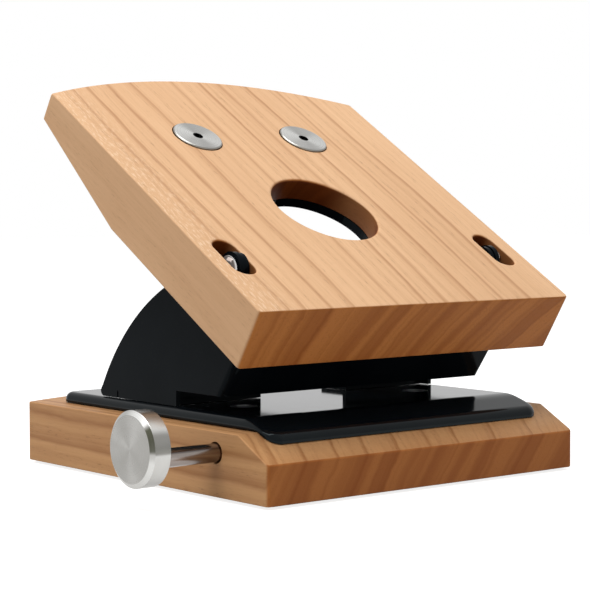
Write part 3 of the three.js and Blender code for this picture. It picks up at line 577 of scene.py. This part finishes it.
def lacquer(name, shine):
    """Gloss black lacquer on steel: faint orange peel, slightly duller and greyer patches of handling."""
    material, tree = new_material(name)
    place = node(tree, "ShaderNodeTexCoord", (-900, 0)).outputs["Object"]
    handled = noise(tree, (-500, 200), place, (30, 30, 30))
    dust = noise(tree, (-500, 0), place, (900, 900, 900), 3.0)
    peel = noise(tree, (-500, -200), place, (420, 420, 420), 2.0)
    worn = ramp(tree, (-250, 200), handled, [(0.35, (0.0,)), (0.75, (1.0,))])
    specks = ramp(tree, (-250, 0), dust, [(0.60, (0.0,)), (0.72, (1.0,))])
    colour = blended(tree, (0, 200), "MIX", worn, (0.0022, 0.0034, 0.0050), (0.0050, 0.0068, 0.0088))
    speck_share = product(tree, (-100, 0), specks, 0.15)
    colour = blended(tree, (200, 200), "MIX", speck_share, colour, (0.02, 0.02, 0.02))
    dull = ranged(tree, (0, -100), handled, 0.0, 1.0, 0.05, 0.13, "LINEAR")
    bump = node(tree, "ShaderNodeBump", (200, -300), Strength=0.035, Distance=0.0002, Height=peel)
    skinned(tree, (450, 100), colour, Roughness=dull, Normal=bump.outputs[0],
            **{"Specular IOR Level": shine, "Specular Tint": (0.84, 0.98, 1.0, 1)})
    return material


black_lacquer = lacquer("black_lacquer", 0.12)
finished(plate, black_lacquer, "black_lacquer", "base", "base_plate")

# Housing: one lacquered sheet bent round two corners, the front wall leaning forward as it rises and
# the cheeks running back to a curved rear edge. Feet turned inwards hold it on the plate.
sheet = 1.8 * mm
sheet_edge_round = 0.3 * mm
pick_margin = 0.1 * mm
clear_of_feet = 0.2 * mm
cheek_outer = 59.7 * mm
bend = 2.6 * mm
slot_top = plate_top + 5.3 * mm
housing_foot = plate_top + 0.2 * mm
stop_y = base_front + 62.3 * mm
wall_foot_y = base_front + 37.1 * mm
wall_rise = 16.2 * mm
wall_lean = math.radians(35)
pivot_y = base_front + 32.1 * mm
pivot_z = underside + 73.4 * mm
ear_radius = 5.6 * mm
cheek_top = underside + 69.1 * mm
cheek_rear = stop_y + 45.7 * mm
rear_round = 2 * mm
rear_radius = 86.3 * mm
slit_y = stop_y + 34.6 * mm
slit_width = 0.8 * mm
slit_top = housing_foot + 2.4 * mm
foot_front = stop_y + 19.5 * mm
foot_length = 14 * mm
foot_reach = 8 * mm
notch_round = 4 * mm
pivot_bore, bore_inner, bore_outer = 2.65 * mm, 55 * mm, 63 * mm
rear_edge_start = 29.5 * mm
reach = 140 * mm


def flat_in_side_view(across):
    """An outline of Y and Z, stood upright at a place across."""
    return lambda y, z: (across, y, z)


rear_arc_start = Vector((pivot_y + rear_edge_start, cheek_top))
rear_arc_end = Vector((cheek_rear, housing_foot + rear_round))
chord = rear_arc_end - rear_arc_start
inward = Vector((chord.y, -chord.x)).normalized()
rear_centre = (rear_arc_start + rear_arc_end) / 2
rear_centre += inward * math.sqrt(rear_radius**2 - chord.length_squared / 4)
arc_from = math.degrees(math.atan2(*(rear_arc_start - rear_centre).yx))
arc_to = math.degrees(math.atan2(*(rear_arc_end - rear_centre).yx))
cheek = [(wall_foot_y, slot_top), (wall_foot_y - wall_rise * math.tan(wall_lean), slot_top + wall_rise)]
cheek += arc((pivot_y, pivot_z), ear_radius, 180, 0, 24)
cheek += [(pivot_y + ear_radius, cheek_top)]
cheek += arc(rear_centre, rear_radius, arc_from, arc_to, 48)
cheek += arc((cheek_rear - rear_round, housing_foot + rear_round), rear_round, 0, -90, 8)
cheek += [
    (slit_y + slit_width, housing_foot),
    (slit_y + slit_width, slit_top),
    (slit_y, slit_top),
    (slit_y, housing_foot),
    (stop_y, housing_foot),
    (stop_y, slot_top),
]
housing = drawn_sheet("housing_sheet", cheek, flat_in_side_view(-base_half))
housing = pulled_up(housing, (base_half * 2, 0, 0))
channel = [(cheek_outer, reach)]
channel += arc((cheek_outer - bend, bend), bend, 0, -90, 10)
channel += arc((bend - cheek_outer, bend), bend, -90, -180, 10)
channel += [(-cheek_outer, reach), (sheet - cheek_outer, reach)]
channel += arc((bend - cheek_outer, bend), bend - sheet, 180, 270, 10)
channel += arc((cheek_outer - bend, bend), bend - sheet, 270, 360, 10)
channel += [(cheek_outer - sheet, reach)]
bent_sheet = pulled_up(drawn_sheet("bent_sheet", channel, flat_in_plan(-reach)), (0, 0, reach * 2))
bent_sheet.rotation_euler = (wall_lean, 0, 0)
bent_sheet.location = (0, wall_foot_y, slot_top)
settled()
worked(housing, "INTERSECT", [bent_sheet])
for side in (-1, 1):
    inside = side * (cheek_outer - sheet - foot_reach)
    outside = side * (cheek_outer - sheet / 2)
    foot = brick((min(inside, outside), foot_front, housing_foot),
                 (max(inside, outside), foot_front + foot_length, housing_foot + sheet))
    worked(housing, "UNION", [foot])
    centre = (side * (cheek_outer - notch_round), slot_top + notch_round)
    notch = [(side * (cheek_outer + overrun), centre[1]), (side * cheek_outer, centre[1])]
    notch += arc(centre, notch_round, 0 if side > 0 else 180, -90 if side > 0 else 270, 12)[1:]
    notch += [(centre[0], slot_top - overrun), (side * (cheek_outer + overrun), slot_top - overrun)]
    corner = drawn_sheet("corner_cut", notch, lambda x, z: (x, wall_foot_y - wall_rise, z))
    corner = pulled_up(corner, (0, wall_rise, 0))
    bore = bar(pivot_bore, (side * bore_inner, pivot_y, pivot_z), (side * bore_outer, pivot_y, pivot_z), 48)
    worked(housing, "DIFFERENCE", [corner, bore])
healed(housing)

# the cheeks' own sharp edges, away from bends and feet, are rounded a little
picked_edges(housing, lambda p: (abs(p.x) > cheek_outer - sheet - pick_margin and p.y > wall_foot_y + bend
                                 and p.z > housing_foot + sheet + clear_of_feet))
bpy.ops.mesh.select_mode(type="EDGE")
bpy.ops.mesh.hide(unselected=True)
bpy.ops.mesh.edges_select_sharp(sharpness=math.radians(50))
bpy.ops.mesh.bevel(offset=sheet_edge_round, segments=2, profile=0.5, affect="EDGES", clamp_overlap=False)
bpy.ops.mesh.reveal(select=False)
bpy.ops.object.mode_set(mode="OBJECT")
smoothed(housing, 40)
# housing, brackets and lever plate get a copy of the same lacquer that reflects less: painted shade for the
# dark room it would reflect
shaded_lacquer = lacquer("shaded_lacquer", 0.03)
finished(housing, shaded_lacquer, "black_lacquer", "base", "punch_housing")

# Inside the housing: two bent guide brackets in the same black lacquer, hardened dies in the plate and
# ground punch pins with heads. All are plain machine parts, kept as the CAD has them.


def steel(name, light, dark, gloss, streaks):
    """Bare metal with fine tool marks. gloss is its mean roughness, and streaks are the marks' waves per
    metre along each axis."""
    material, tree = new_material(name)
    place = node(tree, "ShaderNodeTexCoord", (-900, 0)).outputs["Object"]
    marks = noise(tree, (-500, 200), place, streaks, 4.0, 0.7)
    cloud = noise(tree, (-500, -100), place, (60, 60, 60), 3.0)
    share = ramp(tree, (-250, 200), marks, [(0.3, (0.0,)), (0.7, (1.0,))])
    colour = blended(tree, (0, 200), "MIX", share, light, dark)
    cloud_share = product(tree, (-100, 0), cloud, 0.35)
    colour = blended(tree, (200, 200), "MULTIPLY", cloud_share, colour, (0.75, 0.74, 0.72))
    dull = ranged(tree, (0, -100), marks, 0.0, 1.0, gloss - 0.06, gloss + 0.08, "LINEAR")
    bump = node(tree, "ShaderNodeBump", (200, -300), Strength=0.05, Distance=0.00005, Height=marks)
    skinned(tree, (450, 100), colour, Metallic=1.0, Roughness=dull, Normal=bump.outputs[0])
    return material


def dressed(material, *names):
    """CAD nodes whose shape is right get a better material."""
    for name in names:
        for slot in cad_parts[name].material_slots:
            slot.material = material


ground_steel = steel("ground_steel", (0.34, 0.35, 0.36), (0.24, 0.25, 0.26), 0.28, (1800, 1800, 300))
dressed(shaded_lacquer, "guide_bracket_left", "guide_bracket_right")
dressed(ground_steel, "die_left", "die_right", "punch_pin_left", "punch_pin_right")

# Return springs: drawn steel wire, coiled cold in seven turns. Each stands loose round its pin, between
# the bracket's upper flange and the pin's head; the real one shortens with the pin when the lid is
# pressed, and this one keeps its length at rest.
wire_radius = 0.5 * mm
coil_radius = 3.9 * mm
coil_low = 47.3 * mm + wire_radius
coil_high = 69.15 * mm - wire_radius
coil_turns = 7
wire_sides = 14
steps_per_turn = 36
spring_wire = steel("spring_wire", (0.42, 0.43, 0.44), (0.30, 0.31, 0.32), 0.24, (900, 900, 900))
bpy.ops.object.select_all(action="DESELECT")
bpy.ops.mesh.primitive_circle_add(vertices=wire_sides, radius=wire_radius, fill_type="NGON",
                                  location=(coil_radius, 0, 0), rotation=(math.pi / 2, 0, 0))
coil = settled()
bpy.ops.object.modifier_add(type="SCREW")
winding = coil.modifiers[-1]
winding.angle = math.tau * coil_turns
winding.screw_offset = coil_high - coil_low
winding.steps = coil_turns * steps_per_turn
winding.render_steps = coil_turns * steps_per_turn
bpy.ops.object.modifier_apply(modifier=winding.name)
coil.location = (-pin_x, pin_y, coil_low)
settled()
all_picked(coil)
bpy.ops.mesh.remove_doubles(threshold=no_size)
bpy.ops.mesh.fill_holes(sides=wire_sides)
bpy.ops.mesh.normals_make_consistent(inside=False)
bpy.ops.object.mode_set(mode="OBJECT")
bpy.ops.object.shade_smooth_by_angle(angle=math.radians(50))
coils = (coil, copied(coil, (2 * pin_x, 0, 0)))
for coil, side, name in zip(coils, (-1, 1), ("left", "right")):
    coil.name = f"return_spring_{name}"
    finished(coil, spring_wire, "spring_steel", "base", f"pin_spring_{name}")
    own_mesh(coil)

# Side stop: a polished steel rod in the base's bore and a turned aluminium knob, set off the rod's
# axis. The knob's face and rim show the lathe's rings, and its edge is chamfered.
knob_z = rod_z + 3.8 * mm
knob_inner = -96.3 * mm
knob_radius = 12.3 * mm
knob_face_radius = 10.7 * mm
knob_thickness = 7.1 * mm
knob_chamfer = 1.2 * mm
knob_edge_round = 0.15 * mm
knob_bore, knob_bore_low, knob_bore_high = 3.25 * mm, -99.6 * mm, -94 * mm
rod_radius = 3.1 * mm
rod_inner = 14 * mm
rod_length = 113.5 * mm
rod_end_round = 0.5 * mm


def turned(name, profile, lay, centre, axis, sides=96):
    """A lathe part: its half section, from axis to axis, is spun a full turn."""
    piece = drawn_sheet(name, profile, lay)
    all_picked(piece)
    bpy.ops.mesh.delete(type="ONLY_FACE")
    bpy.ops.mesh.select_all(action="SELECT")
    bpy.ops.mesh.spin(steps=sides, angle=math.tau, center=centre, axis=axis)
    bpy.ops.mesh.select_all(action="SELECT")
    bpy.ops.mesh.remove_doubles(threshold=merge_gap)
    bpy.ops.mesh.dissolve_degenerate(threshold=no_size)
    bpy.ops.mesh.normals_make_consistent(inside=False)
    bpy.ops.object.mode_set(mode="OBJECT")
    return piece


def soft_corner(at, before, after, radius, steps=3):
    """Points that round a right or blunt corner of a profile by about a radius."""
    start = Vector(at) + (Vector(before) - Vector(at)).normalized() * radius
    end = Vector(at) + (Vector(after) - Vector(at)).normalized() * radius
    shares = [i / steps for i in range(steps + 1)]
    return [tuple(start.lerp(Vector(at), s).lerp(Vector(at).lerp(end, s), s)) for s in shares]


def soft_profile(corners, radius):
    """A profile whose inner corners are all rounded a little."""
    points = [corners[0]]
    for before, at, after in zip(corners, corners[1:], corners[2:]):
        points += soft_corner(at, before, after, radius)
    return points + [corners[-1]]


knob_profile = soft_profile([
    (0, 0),
    (knob_radius, 0),
    (knob_radius, knob_thickness - knob_chamfer),
    (knob_face_radius, knob_thickness),
    (0, knob_thickness),
], knob_edge_round)
knob = turned("stop_knob_turned", knob_profile, lambda r, h: (knob_inner - h, rod_y, knob_z + r),
              (0, rod_y, knob_z), (1, 0, 0))
worked(knob, "DIFFERENCE", [bar(knob_bore, (knob_bore_low, rod_y, rod_z), (knob_bore_high, rod_y, rod_z))])
smoothed(knob, 25)
rod_profile = [(0, 0), (rod_radius, 0), (rod_radius, rod_length), (0, rod_length)]
rod_profile = soft_profile(rod_profile, rod_end_round)
rod = turned("stop_rod_polished", rod_profile, lambda r, h: (rod_inner - h, rod_y, rod_z + r),
             (0, rod_y, rod_z), (1, 0, 0), 64)
smoothed(rod, 40)


def lathed_painted_sheen(name, centre, turn, shades, face, chamfer, rim, gloss, socket=0.0, edge=(0.45, 0.60)):
    """Bare metal from the lathe: fine rings round its axis, and a painted sheen, brightness painted in
    by the angle round the axis and by the slope of the surface in place of reflections. shades are its
    colours from dark to bright, and face, chamfer and rim each give the painted brightness at points
    round the turn, from -180 to 180 degrees. turn brings the axis to Z, and gloss is the mean
    roughness. A socket of that radius in the middle is painted dark, as painted shade in the socket,
    and edge is the slope at which rim goes over to chamfer."""
    material, tree = new_material(name)
    at, facing = placed_about(tree, centre, turn)
    right, up = node(tree, "ShaderNodeSeparateXYZ", (-1200, 0), Vector=at).outputs[:2]
    axial = node(tree, "ShaderNodeSeparateXYZ", (-1200, -400), Vector=facing).outputs[2]
    angle = sums(tree, (-1000, 200), "ARCTAN2", up, right)
    turn_share = sums(tree, (-850, 200), "MULTIPLY_ADD", angle, 1 / math.tau, 0.5)
    squared = sums(tree, (-1000, 0), "MULTIPLY", right, right)
    radius = sums(tree, (-700, 0), "SQRT", sums(tree, (-850, 0), "MULTIPLY_ADD", up, up, squared))
    # painted sheen: brightness painted by the angle round the axis on face, chamfer and rim, in place of
    # reflections
    face_painted_sheen, chamfer_painted_sheen, rim_painted_sheen = [
        ramp(tree, (-650, 800 - 250 * i), turn_share, [(a, (b,)) for a, b in stops], "EASE")
        for i, stops in enumerate((face, chamfer, rim))]
    on_chamfer = ranged(tree, (-650, -300), axial, *edge)
    on_face = ranged(tree, (-650, -500), axial, 0.80, 0.95)
    bright = blended(tree, (-350, 400), "MIX", on_chamfer, rim_painted_sheen, chamfer_painted_sheen)
    bright = blended(tree, (-200, 400), "MIX", on_face, bright, face_painted_sheen)
    rings = line_noise(tree, (-500, 0), radius, 3300.0, 3.0)
    cloud = noise(tree, (-500, -200), at, (140, 140, 140), 3.0)
    bright = added_up(tree, (-50, 400), ((rings, 0.11), (cloud, 0.12)), bright)
    bright = sums(tree, (250, 400), "SUBTRACT", bright, 0.115)
    colour = ramp(tree, (400, 400), bright, list(zip((0.0, 0.5, 1.0), shades)))
    # the socket's middle is painted dark: painted shade in the hexagon socket
    if socket:
        painted_socket_shade = ranged(tree, (400, 0), radius, socket * 1.02, socket * 0.92)
        colour = blended(tree, (700, 400), "MIX", painted_socket_shade, colour, (0.012, 0.012, 0.012))
    dull = ranged(tree, (400, -200), rings, 0.2, 0.8, gloss - 0.05, gloss + 0.08)
    bump = node(tree, "ShaderNodeBump", (400, -400), Strength=0.06, Distance=0.00005, Height=rings)
    skinned(tree, (900, 100), colour, Metallic=1.0, Roughness=dull, Normal=bump.outputs[0])
    return material


facing_left = (-math.pi / 2, math.pi / 2, 0)
aluminium_shades = [(0.075, 0.076, 0.055), (0.30, 0.293, 0.278), (0.74, 0.74, 0.72)]
# painted sheen: brightness round the knob's face, chamfer and rim, painted in place of the turned metal's
# reflections
knob_face_painted_sheen = [(0.0, 0.50), (0.14, 0.44), (0.26, 0.53), (0.40, 0.46), (0.55, 0.50), (0.68, 0.56),
                   (0.83, 0.47), (0.92, 0.55), (1.0, 0.50)]
knob_chamfer_painted_sheen = [(0.0, 0.52), (0.18, 0.56), (0.30, 0.64), (0.45, 0.75), (0.49, 0.60), (0.51, 0.05),
                      (0.60, 0.0), (0.64, 0.95), (0.71, 0.95), (0.80, 0.60), (1.0, 0.52)]
knob_rim_painted_sheen = [(0.0, 0.5), (0.25, 0.42), (0.40, 0.66), (0.485, 0.72), (0.50, 0.30), (0.56, 0.45),
                  (0.61, 0.95), (0.66, 0.62), (0.75, 0.50)]
turned_aluminium = lathed_painted_sheen("turned_aluminium", (knob_inner, rod_y, knob_z), facing_left, aluminium_shades,
                          knob_face_painted_sheen, knob_chamfer_painted_sheen, knob_rim_painted_sheen, gloss=0.30)
steel_shades = [(0.045, 0.036, 0.034), (0.27, 0.235, 0.215), (0.75, 0.74, 0.73)]
# painted sheen along the rod: bright and dark bands round it, painted in place of reflections
rod_painted_sheen = [(0.0, 0.40), (0.25, 0.39), (0.42, 0.44), (0.50, 0.56), (0.56, 0.50), (0.60, 0.16),
             (0.63, 0.50), (0.68, 0.58), (0.75, 0.35)]


def even(bright):
    """The same painted sheen brightness all round."""
    return [(0.0, bright), (1.0, bright)]


polished_steel_painted_sheen = lathed_painted_sheen("polished_steel_painted_sheen", (0, rod_y, rod_z), facing_left, steel_shades, even(0.55),
                        even(0.55), rod_painted_sheen, gloss=0.22)
finished(knob, turned_aluminium, "turned_aluminium", "side_stop", "stop_knob")
finished(rod, polished_steel_painted_sheen, "bright_steel", "side_stop", "stop_rod")

# Underneath: rubber mats, the chip cover's snapped-in plastic, zinc-plated screws up into the plate
# and, beside the rod, the screw and nylon plug that brake it. All keep their CAD shape.


def moulded(name, light, dark, low, high, grain):
    """A matt moulded material with fine grain and slow changes of tone."""
    material, tree = new_material(name)
    place = node(tree, "ShaderNodeTexCoord", (-900, 0)).outputs["Object"]
    fine = noise(tree, (-500, 200), place, (grain, grain, grain), 3.0)
    slow = noise(tree, (-500, -100), place, (45, 45, 45), 3.0)
    colour = blended(tree, (0, 200), "MIX", slow, light, dark)
    dull = ranged(tree, (0, -100), fine, 0.0, 1.0, low, high, "LINEAR")
    bump = node(tree, "ShaderNodeBump", (200, -300), Strength=0.25, Distance=0.0001, Height=fine)
    skinned(tree, (450, 100), colour, Roughness=dull, Normal=bump.outputs[0], **{"Specular IOR Level": 0.4})
    return material


rubber = moulded("matt_rubber", (0.012, 0.012, 0.012), (0.022, 0.022, 0.021), 0.75, 0.95, 2200)
cover_plastic = moulded("cover_plastic", (0.018, 0.018, 0.020), (0.028, 0.028, 0.030), 0.45, 0.62, 1500)
nylon = moulded("natural_nylon", (0.74, 0.73, 0.68), (0.64, 0.62, 0.56), 0.40, 0.55, 1200)
zinc = steel("zinc_plate", (0.55, 0.56, 0.58), (0.42, 0.43, 0.46), 0.30, (500, 500, 500))
dressed(rubber, "base_mat_front", "base_mat_rear")
dressed(cover_plastic, "chip_cover")
dressed(nylon, "rod_brake_plug")
dressed(zinc, "rod_brake_screw", "frame_screw_front_left", "frame_screw_front_right",
        "frame_screw_rear_left", "frame_screw_rear_right", "pivot_pin_left", "pivot_pin_right",
        "lid_nut_left", "lid_nut_right")

# Lid: the base's plan again in the same wood, milled out from below and planed thinner to the rear.
# The grip hole and the two pivot slots have soft upper edges, and shallow seats take the disc screws.
raised = math.radians(31.4)
lid_half = 70.6 * mm
lid_front = -31.5 * mm
lid_side_end = 108.5 * mm
lid_top = 4.7 * mm
lid_bottom = -17.3 * mm
slope_rise, slope_run = 11, 57
lid_edge_round = 0.6 * mm
lid_rear_round = 1.4 * mm
hole_radius = 20 * mm
hole_y = 28.9 * mm
hole_rim = 1.1 * mm
slot_x = 59.85 * mm
slot_radius = 4.35 * mm
slot_reach = 10 * mm
slot_rim = 0.9 * mm
pocket_half, pocket_front, pocket_rear = 60.2 * mm, -17.5 * mm, 87.5 * mm
pocket_round = 4 * mm
pocket_roof = 8 * mm
disc_x = 24.9 * mm
disc_y = 78.3 * mm
seat_radius, seat_floor = 9.65 * mm, 3.2 * mm
bolt_hole, bolt_hole_low = 2.8 * mm, -20 * mm
above_lid = 8 * mm


def rimmed_hole(points, centre, reach_x, reach_y, rim):
    """A tool for a hole through the lid, with a flared top that leaves a rounded upper edge."""
    tool = pulled_up(drawn_sheet("hole_tool", points, flat_in_plan(lid_bottom - overrun)),
                     (0, 0, lid_top - rim - lid_bottom + overrun))
    high = lid_top - rim
    picked_faces(tool, lambda face: face.normal.z > 0.5)
    flare = 0.0
    steps = 5
    for i in range(1, steps + 2):
        turn = min(1.0, i / steps) * math.pi / 2
        wider = rim * (1 - math.cos(turn))
        rise = lid_top - rim + rim * math.sin(turn) - high if i <= steps else overrun
        bpy.ops.mesh.extrude_region_move(TRANSFORM_OT_translate={"value": (0, 0, rise)})
        grow = ((reach_x + wider) / (reach_x + flare), (reach_y + wider) / (reach_y + flare), 1)
        bpy.ops.transform.resize(value=grow, center_override=(centre[0], centre[1], high))
        high += rise
        flare = wider
    bpy.ops.object.mode_set(mode="OBJECT")
    return tool


def put_on_lever(piece):
    """A piece that was made level about the pivot is raised to the lid's place at rest."""
    taken_up(piece)
    piece.location = (0, pivot_y, pivot_z)
    piece.rotation_euler = (raised, 0, 0)
    settled()


plan = arc((lid_half - corner_round, lid_front + corner_round), corner_round, -90, 0, 6)
plan += bow_arc(lid_half, lid_side_end, 72)
plan += arc((corner_round - lid_half, lid_front + corner_round), corner_round, 180, 270, 6)
lid = pulled_up(drawn_sheet("lid_board", plan, flat_in_plan(lid_bottom)), (0, 0, lid_top - lid_bottom))
sawn(lid, (0, lid_side_end - slope_run * mm, lid_bottom), (0, slope_rise, -slope_run))
rounded(lid, lid_rear_round, 4, lambda p: p.z > lid_top - hair and p.y > lid_side_end - hair)
rounded(lid, lid_edge_round, 3)
plan = []
for x, y, start in ((pocket_half, pocket_front, -90), (pocket_half, pocket_rear, 0),
                    (-pocket_half, pocket_rear, 90), (-pocket_half, pocket_front, 180)):
    plan += arc((x, y), pocket_round, start, start + 90, 6)
pocket = pulled_up(drawn_sheet("pocket_tool", plan, flat_in_plan(lid_bottom - overrun)),
                   (0, 0, lid_top - pocket_roof - lid_bottom + overrun))
worked(lid, "DIFFERENCE", [pocket])
grip = arc((0, hole_y), hole_radius, 0, 360, 120)
holes = [rimmed_hole(grip, (0, hole_y), hole_radius, hole_radius, hole_rim)]
for side in (-1, 1):
    ends = slot_reach - slot_radius
    points = arc((side * slot_x, ends), slot_radius, 0, 180, 20)
    points += arc((side * slot_x, -ends), slot_radius, 180, 360, 20)
    holes.append(rimmed_hole(points, (side * slot_x, 0), slot_radius, slot_reach, slot_rim))
for radius, low, sides in ((seat_radius, seat_floor, 96), (bolt_hole, bolt_hole_low, 32)):
    for x in (-disc_x, disc_x):
        holes.append(bar(radius, (x, disc_y, low), (x, disc_y, above_lid), sides))
worked(lid, "DIFFERENCE", holes)
smoothed(lid)
put_on_lever(lid)
lid_rings = [0.20, 0.235, 0.2875, 0.3375, 0.432, 0.501, 0.5455, 0.6095, 0.6735, 0.735]
lid_long = ((0.74, 0.460, 0.258), (0.42, 0.200, 0.086))
lid_end = ((0.51, 0.182, 0.040), (0.310, 0.088, 0.012))
shaded_hole_span = (66 * mm, -12 * mm, 51 * mm)
left_painted_glints = (-50 * mm, -69 * mm)
lid_wood = hardwood("lid_wood", (0, pivot_y, pivot_z), raised, lid_rings, lid_long, lid_end,
                    lean=0.55, lean_rate=6.5, holes=shaded_hole_span, pale=left_painted_glints)
finished(lid, lid_wood, "wood", "lever", "lid")
dressed(shaded_lacquer, "lever_plate")

# Disc screws: broad heads of turned aluminium with a hexagon socket, let into shallow seats in the lid.
# Their shanks go through wood and lever and clamp the two together with nuts below.
disc_radius = 9.35 * mm
disc_top = 5.5 * mm
disc_thickness = 2 * mm
disc_hollow, disc_hollow_edge = 0.2 * mm, 0.05 * mm
disc_rim, disc_rim_drop = 0.5 * mm, 0.35 * mm
disc_edge_round = 0.12 * mm
shank_radius, shank_end = 2.5 * mm, -11.4 * mm
socket_radius, socket_depth = 2 * mm, 1.4 * mm
above_disc = 9 * mm
disc_profile = soft_profile([
    (0, disc_top - disc_hollow),
    (disc_radius * 0.35, disc_top - disc_hollow_edge),
    (disc_radius - disc_rim, disc_top),
    (disc_radius, disc_top - disc_rim_drop),
    (disc_radius, disc_top - disc_thickness),
    (shank_radius, disc_top - disc_thickness),
    (shank_radius, shank_end),
    (0, shank_end),
], disc_edge_round)
# painted sheen on the disc heads: brighter and darker sectors round the turn, painted in place of reflections
disc_painted_sheen = [(0.0, 0.74), (0.12, 0.60), (0.25, 0.55), (0.38, 0.76), (0.5, 0.72), (0.62, 0.58), (0.75, 0.54),
              (0.88, 0.80), (1.0, 0.74)]
disc = turned("disc_screw", disc_profile, lambda r, h: (r - disc_x, disc_y, h), (-disc_x, disc_y, 0),
              (0, 0, 1))
hexagon = bar(socket_radius, (-disc_x, disc_y, disc_top - socket_depth), (-disc_x, disc_y, above_disc), 6)
worked(disc, "DIFFERENCE", [hexagon])
smoothed(disc, 25)
put_on_lever(disc)
discs = (disc, copied(disc, (2 * disc_x, 0, 0)))
for disc, side, name in zip(discs, (-1, 1), ("left", "right")):
    disc.name = f"disc_screw_{name}"
    spot = Vector((side * disc_x, pivot_y + disc_y * math.cos(raised) - disc_top * math.sin(raised),
                   pivot_z + disc_y * math.sin(raised) + disc_top * math.cos(raised)))
    # the hexagon socket in the disc's middle is painted dark, as painted shade
    disc_metal = lathed_painted_sheen(f"faced_painted_sheen_{name}", spot, (-raised, 0, 0), aluminium_shades, disc_painted_sheen, even(0.35),
                        even(0.35), gloss=0.30, socket=socket_radius)
    finished(disc, disc_metal, "turned_aluminium", "lever", f"lid_screw_{name}")

# Axle caps: small domed cups, deep-drawn from bright steel and pressed on the pivot pins' outer ends to
# keep lever and housing together. They are seen in the lid's slots.
cap_radius = 4.5 * mm
cap_length = 3.8 * mm
cap_rim = 0.5 * mm
cap_wall = 0.5 * mm
cap_edge = 0.2 * mm
cap_gap = 0.3 * mm
dome_steps = 16
cap_profile = [(pivot_bore, 0), (cap_radius - cap_edge, 0), (cap_radius, cap_edge), (cap_radius, cap_rim)]
for i in range(1, dome_steps):
    turn = i / dome_steps * math.pi / 2
    cap_profile.append((cap_radius * math.cos(turn), cap_rim + (cap_length - cap_rim) * math.sin(turn)))
cap_profile += [(0, cap_length), (0, cap_length - cap_wall), (pivot_bore, cap_length - cap_wall)]
seat = -cheek_outer - cap_gap
cap = turned("axle_dome", cap_profile, lambda r, h: (seat - h, 0, r), (seat, 0, 0), (1, 0, 0), 64)
smoothed(cap, 40)
caps = (cap, copied(cap, (0, 0, 0), math.pi))
for cap, side, name in zip(caps, (-1, 1), ("left", "right")):
    cap.name = f"axle_dome_{name}"
    put_on_lever(cap)
    # painted sheen: a bright painted rim and a darker painted dome and face, in place of reflections
    cap_metal = lathed_painted_sheen(f"domed_painted_sheen_{name}", (0, pivot_y, pivot_z), (-math.pi / 2, side * -math.pi / 2, 0),
                       steel_shades, even(0.30), even(0.12), even(0.95), gloss=0.14, edge=(0.05, 0.45))
    finished(cap, cap_metal, "bright_steel", "lever", f"axle_cap_{name}")

# Studio: a white-painted table, even light from all sides, a broad lamp above and a small one at the
# left, and the photograph's camera. Table and backdrop look white but light the punch less.
bpy.ops.object.select_all(action="DESELECT")
bpy.ops.mesh.primitive_plane_add(size=6, location=(0, 0, 0))
table_top = bpy.context.object
table_top.name = "table_top"
table_grey = 0.50
table_glow = 0.82
sky_light = 0.40
sky_shown = 0.60


def seen_rays(tree):
    """1 for rays by which something is seen, straight, through glass or in gloss, and else 0."""
    kinds = node(tree, "ShaderNodeLightPath", (-800, -200)).outputs
    seen = sums(tree, (-600, -200), "MAXIMUM", kinds["Is Camera Ray"], kinds["Is Transmission Ray"])
    return sums(tree, (-450, -200), "MAXIMUM", seen, kinds["Is Glossy Ray"])


table_paint, paint = new_material("table_paint")
spread = node(paint, "ShaderNodeBsdfDiffuse", (0, 0), Color=(table_grey, table_grey, table_grey, 1))
glow = node(paint, "ShaderNodeEmission", (0, -200), Color=(1, 1, 1, 1),
            Strength=product(paint, (-300, -200), seen_rays(paint), table_glow))
both = node(paint, "ShaderNodeAddShader", (250, 0))
paint.links.new(spread.outputs[0], both.inputs[0])
paint.links.new(glow.outputs[0], both.inputs[1])
paint_out = node(paint, "ShaderNodeOutputMaterial", (500, 0))
paint.links.new(both.outputs[0], paint_out.inputs[0])
table_top.data.materials.append(table_paint)
table_top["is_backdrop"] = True

scene = bpy.context.scene
scene.view_settings.view_transform = "Standard"
sky = bpy.data.worlds.new("studio")
scene.world = sky
sky.use_nodes = True
air = sky.node_tree
air.nodes.clear()
bright = sums(air, (-200, 0), "MULTIPLY_ADD", seen_rays(air), sky_shown, sky_light)
backdrop = node(air, "ShaderNodeBackground", (0, 0), Color=(1, 1, 1, 1), Strength=bright)
air_out = node(air, "ShaderNodeOutputWorld", (250, 0))
air.links.new(backdrop.outputs[0], air_out.inputs[0])

lamps = (
    ("top_lamp", (-0.25, -0.05, 1.1), 0.8, 11.5),
    ("left_lamp", (-1.15, 0.10, 0.55), 0.7, 1.2),
)
lit_spot = Vector((0, 0, 0.05))
for name, spot, width, power in lamps:
    bpy.ops.object.light_add(type="AREA", location=spot)
    lamp = bpy.context.object
    lamp.name = name
    lamp.data.shape = "SQUARE"
    lamp.data.size = width
    lamp.data.energy = power
    aim = lit_spot - Vector(spot)
    lamp.rotation_euler = aim.to_track_quat("-Z", "Y").to_euler()

# the photograph's camera, with its focal length and height in pixels
photo_height = 591
focal_length = 1888.5
sensor = 36
camera_place = (-0.43544, -0.52490, 0.09864)
camera_dip = 0.053698
camera_heading = -0.69146
bpy.ops.object.camera_add(location=camera_place, rotation=(math.pi / 2 - camera_dip, 0, camera_heading))
camera = bpy.context.object
camera.data.sensor_width = sensor
camera.data.lens = sensor * focal_length / photo_height
camera.data.clip_start = 0.01
camera.data.clip_end = 50
scene.camera = camera

bpy.context.view_layer.update()
low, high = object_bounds()
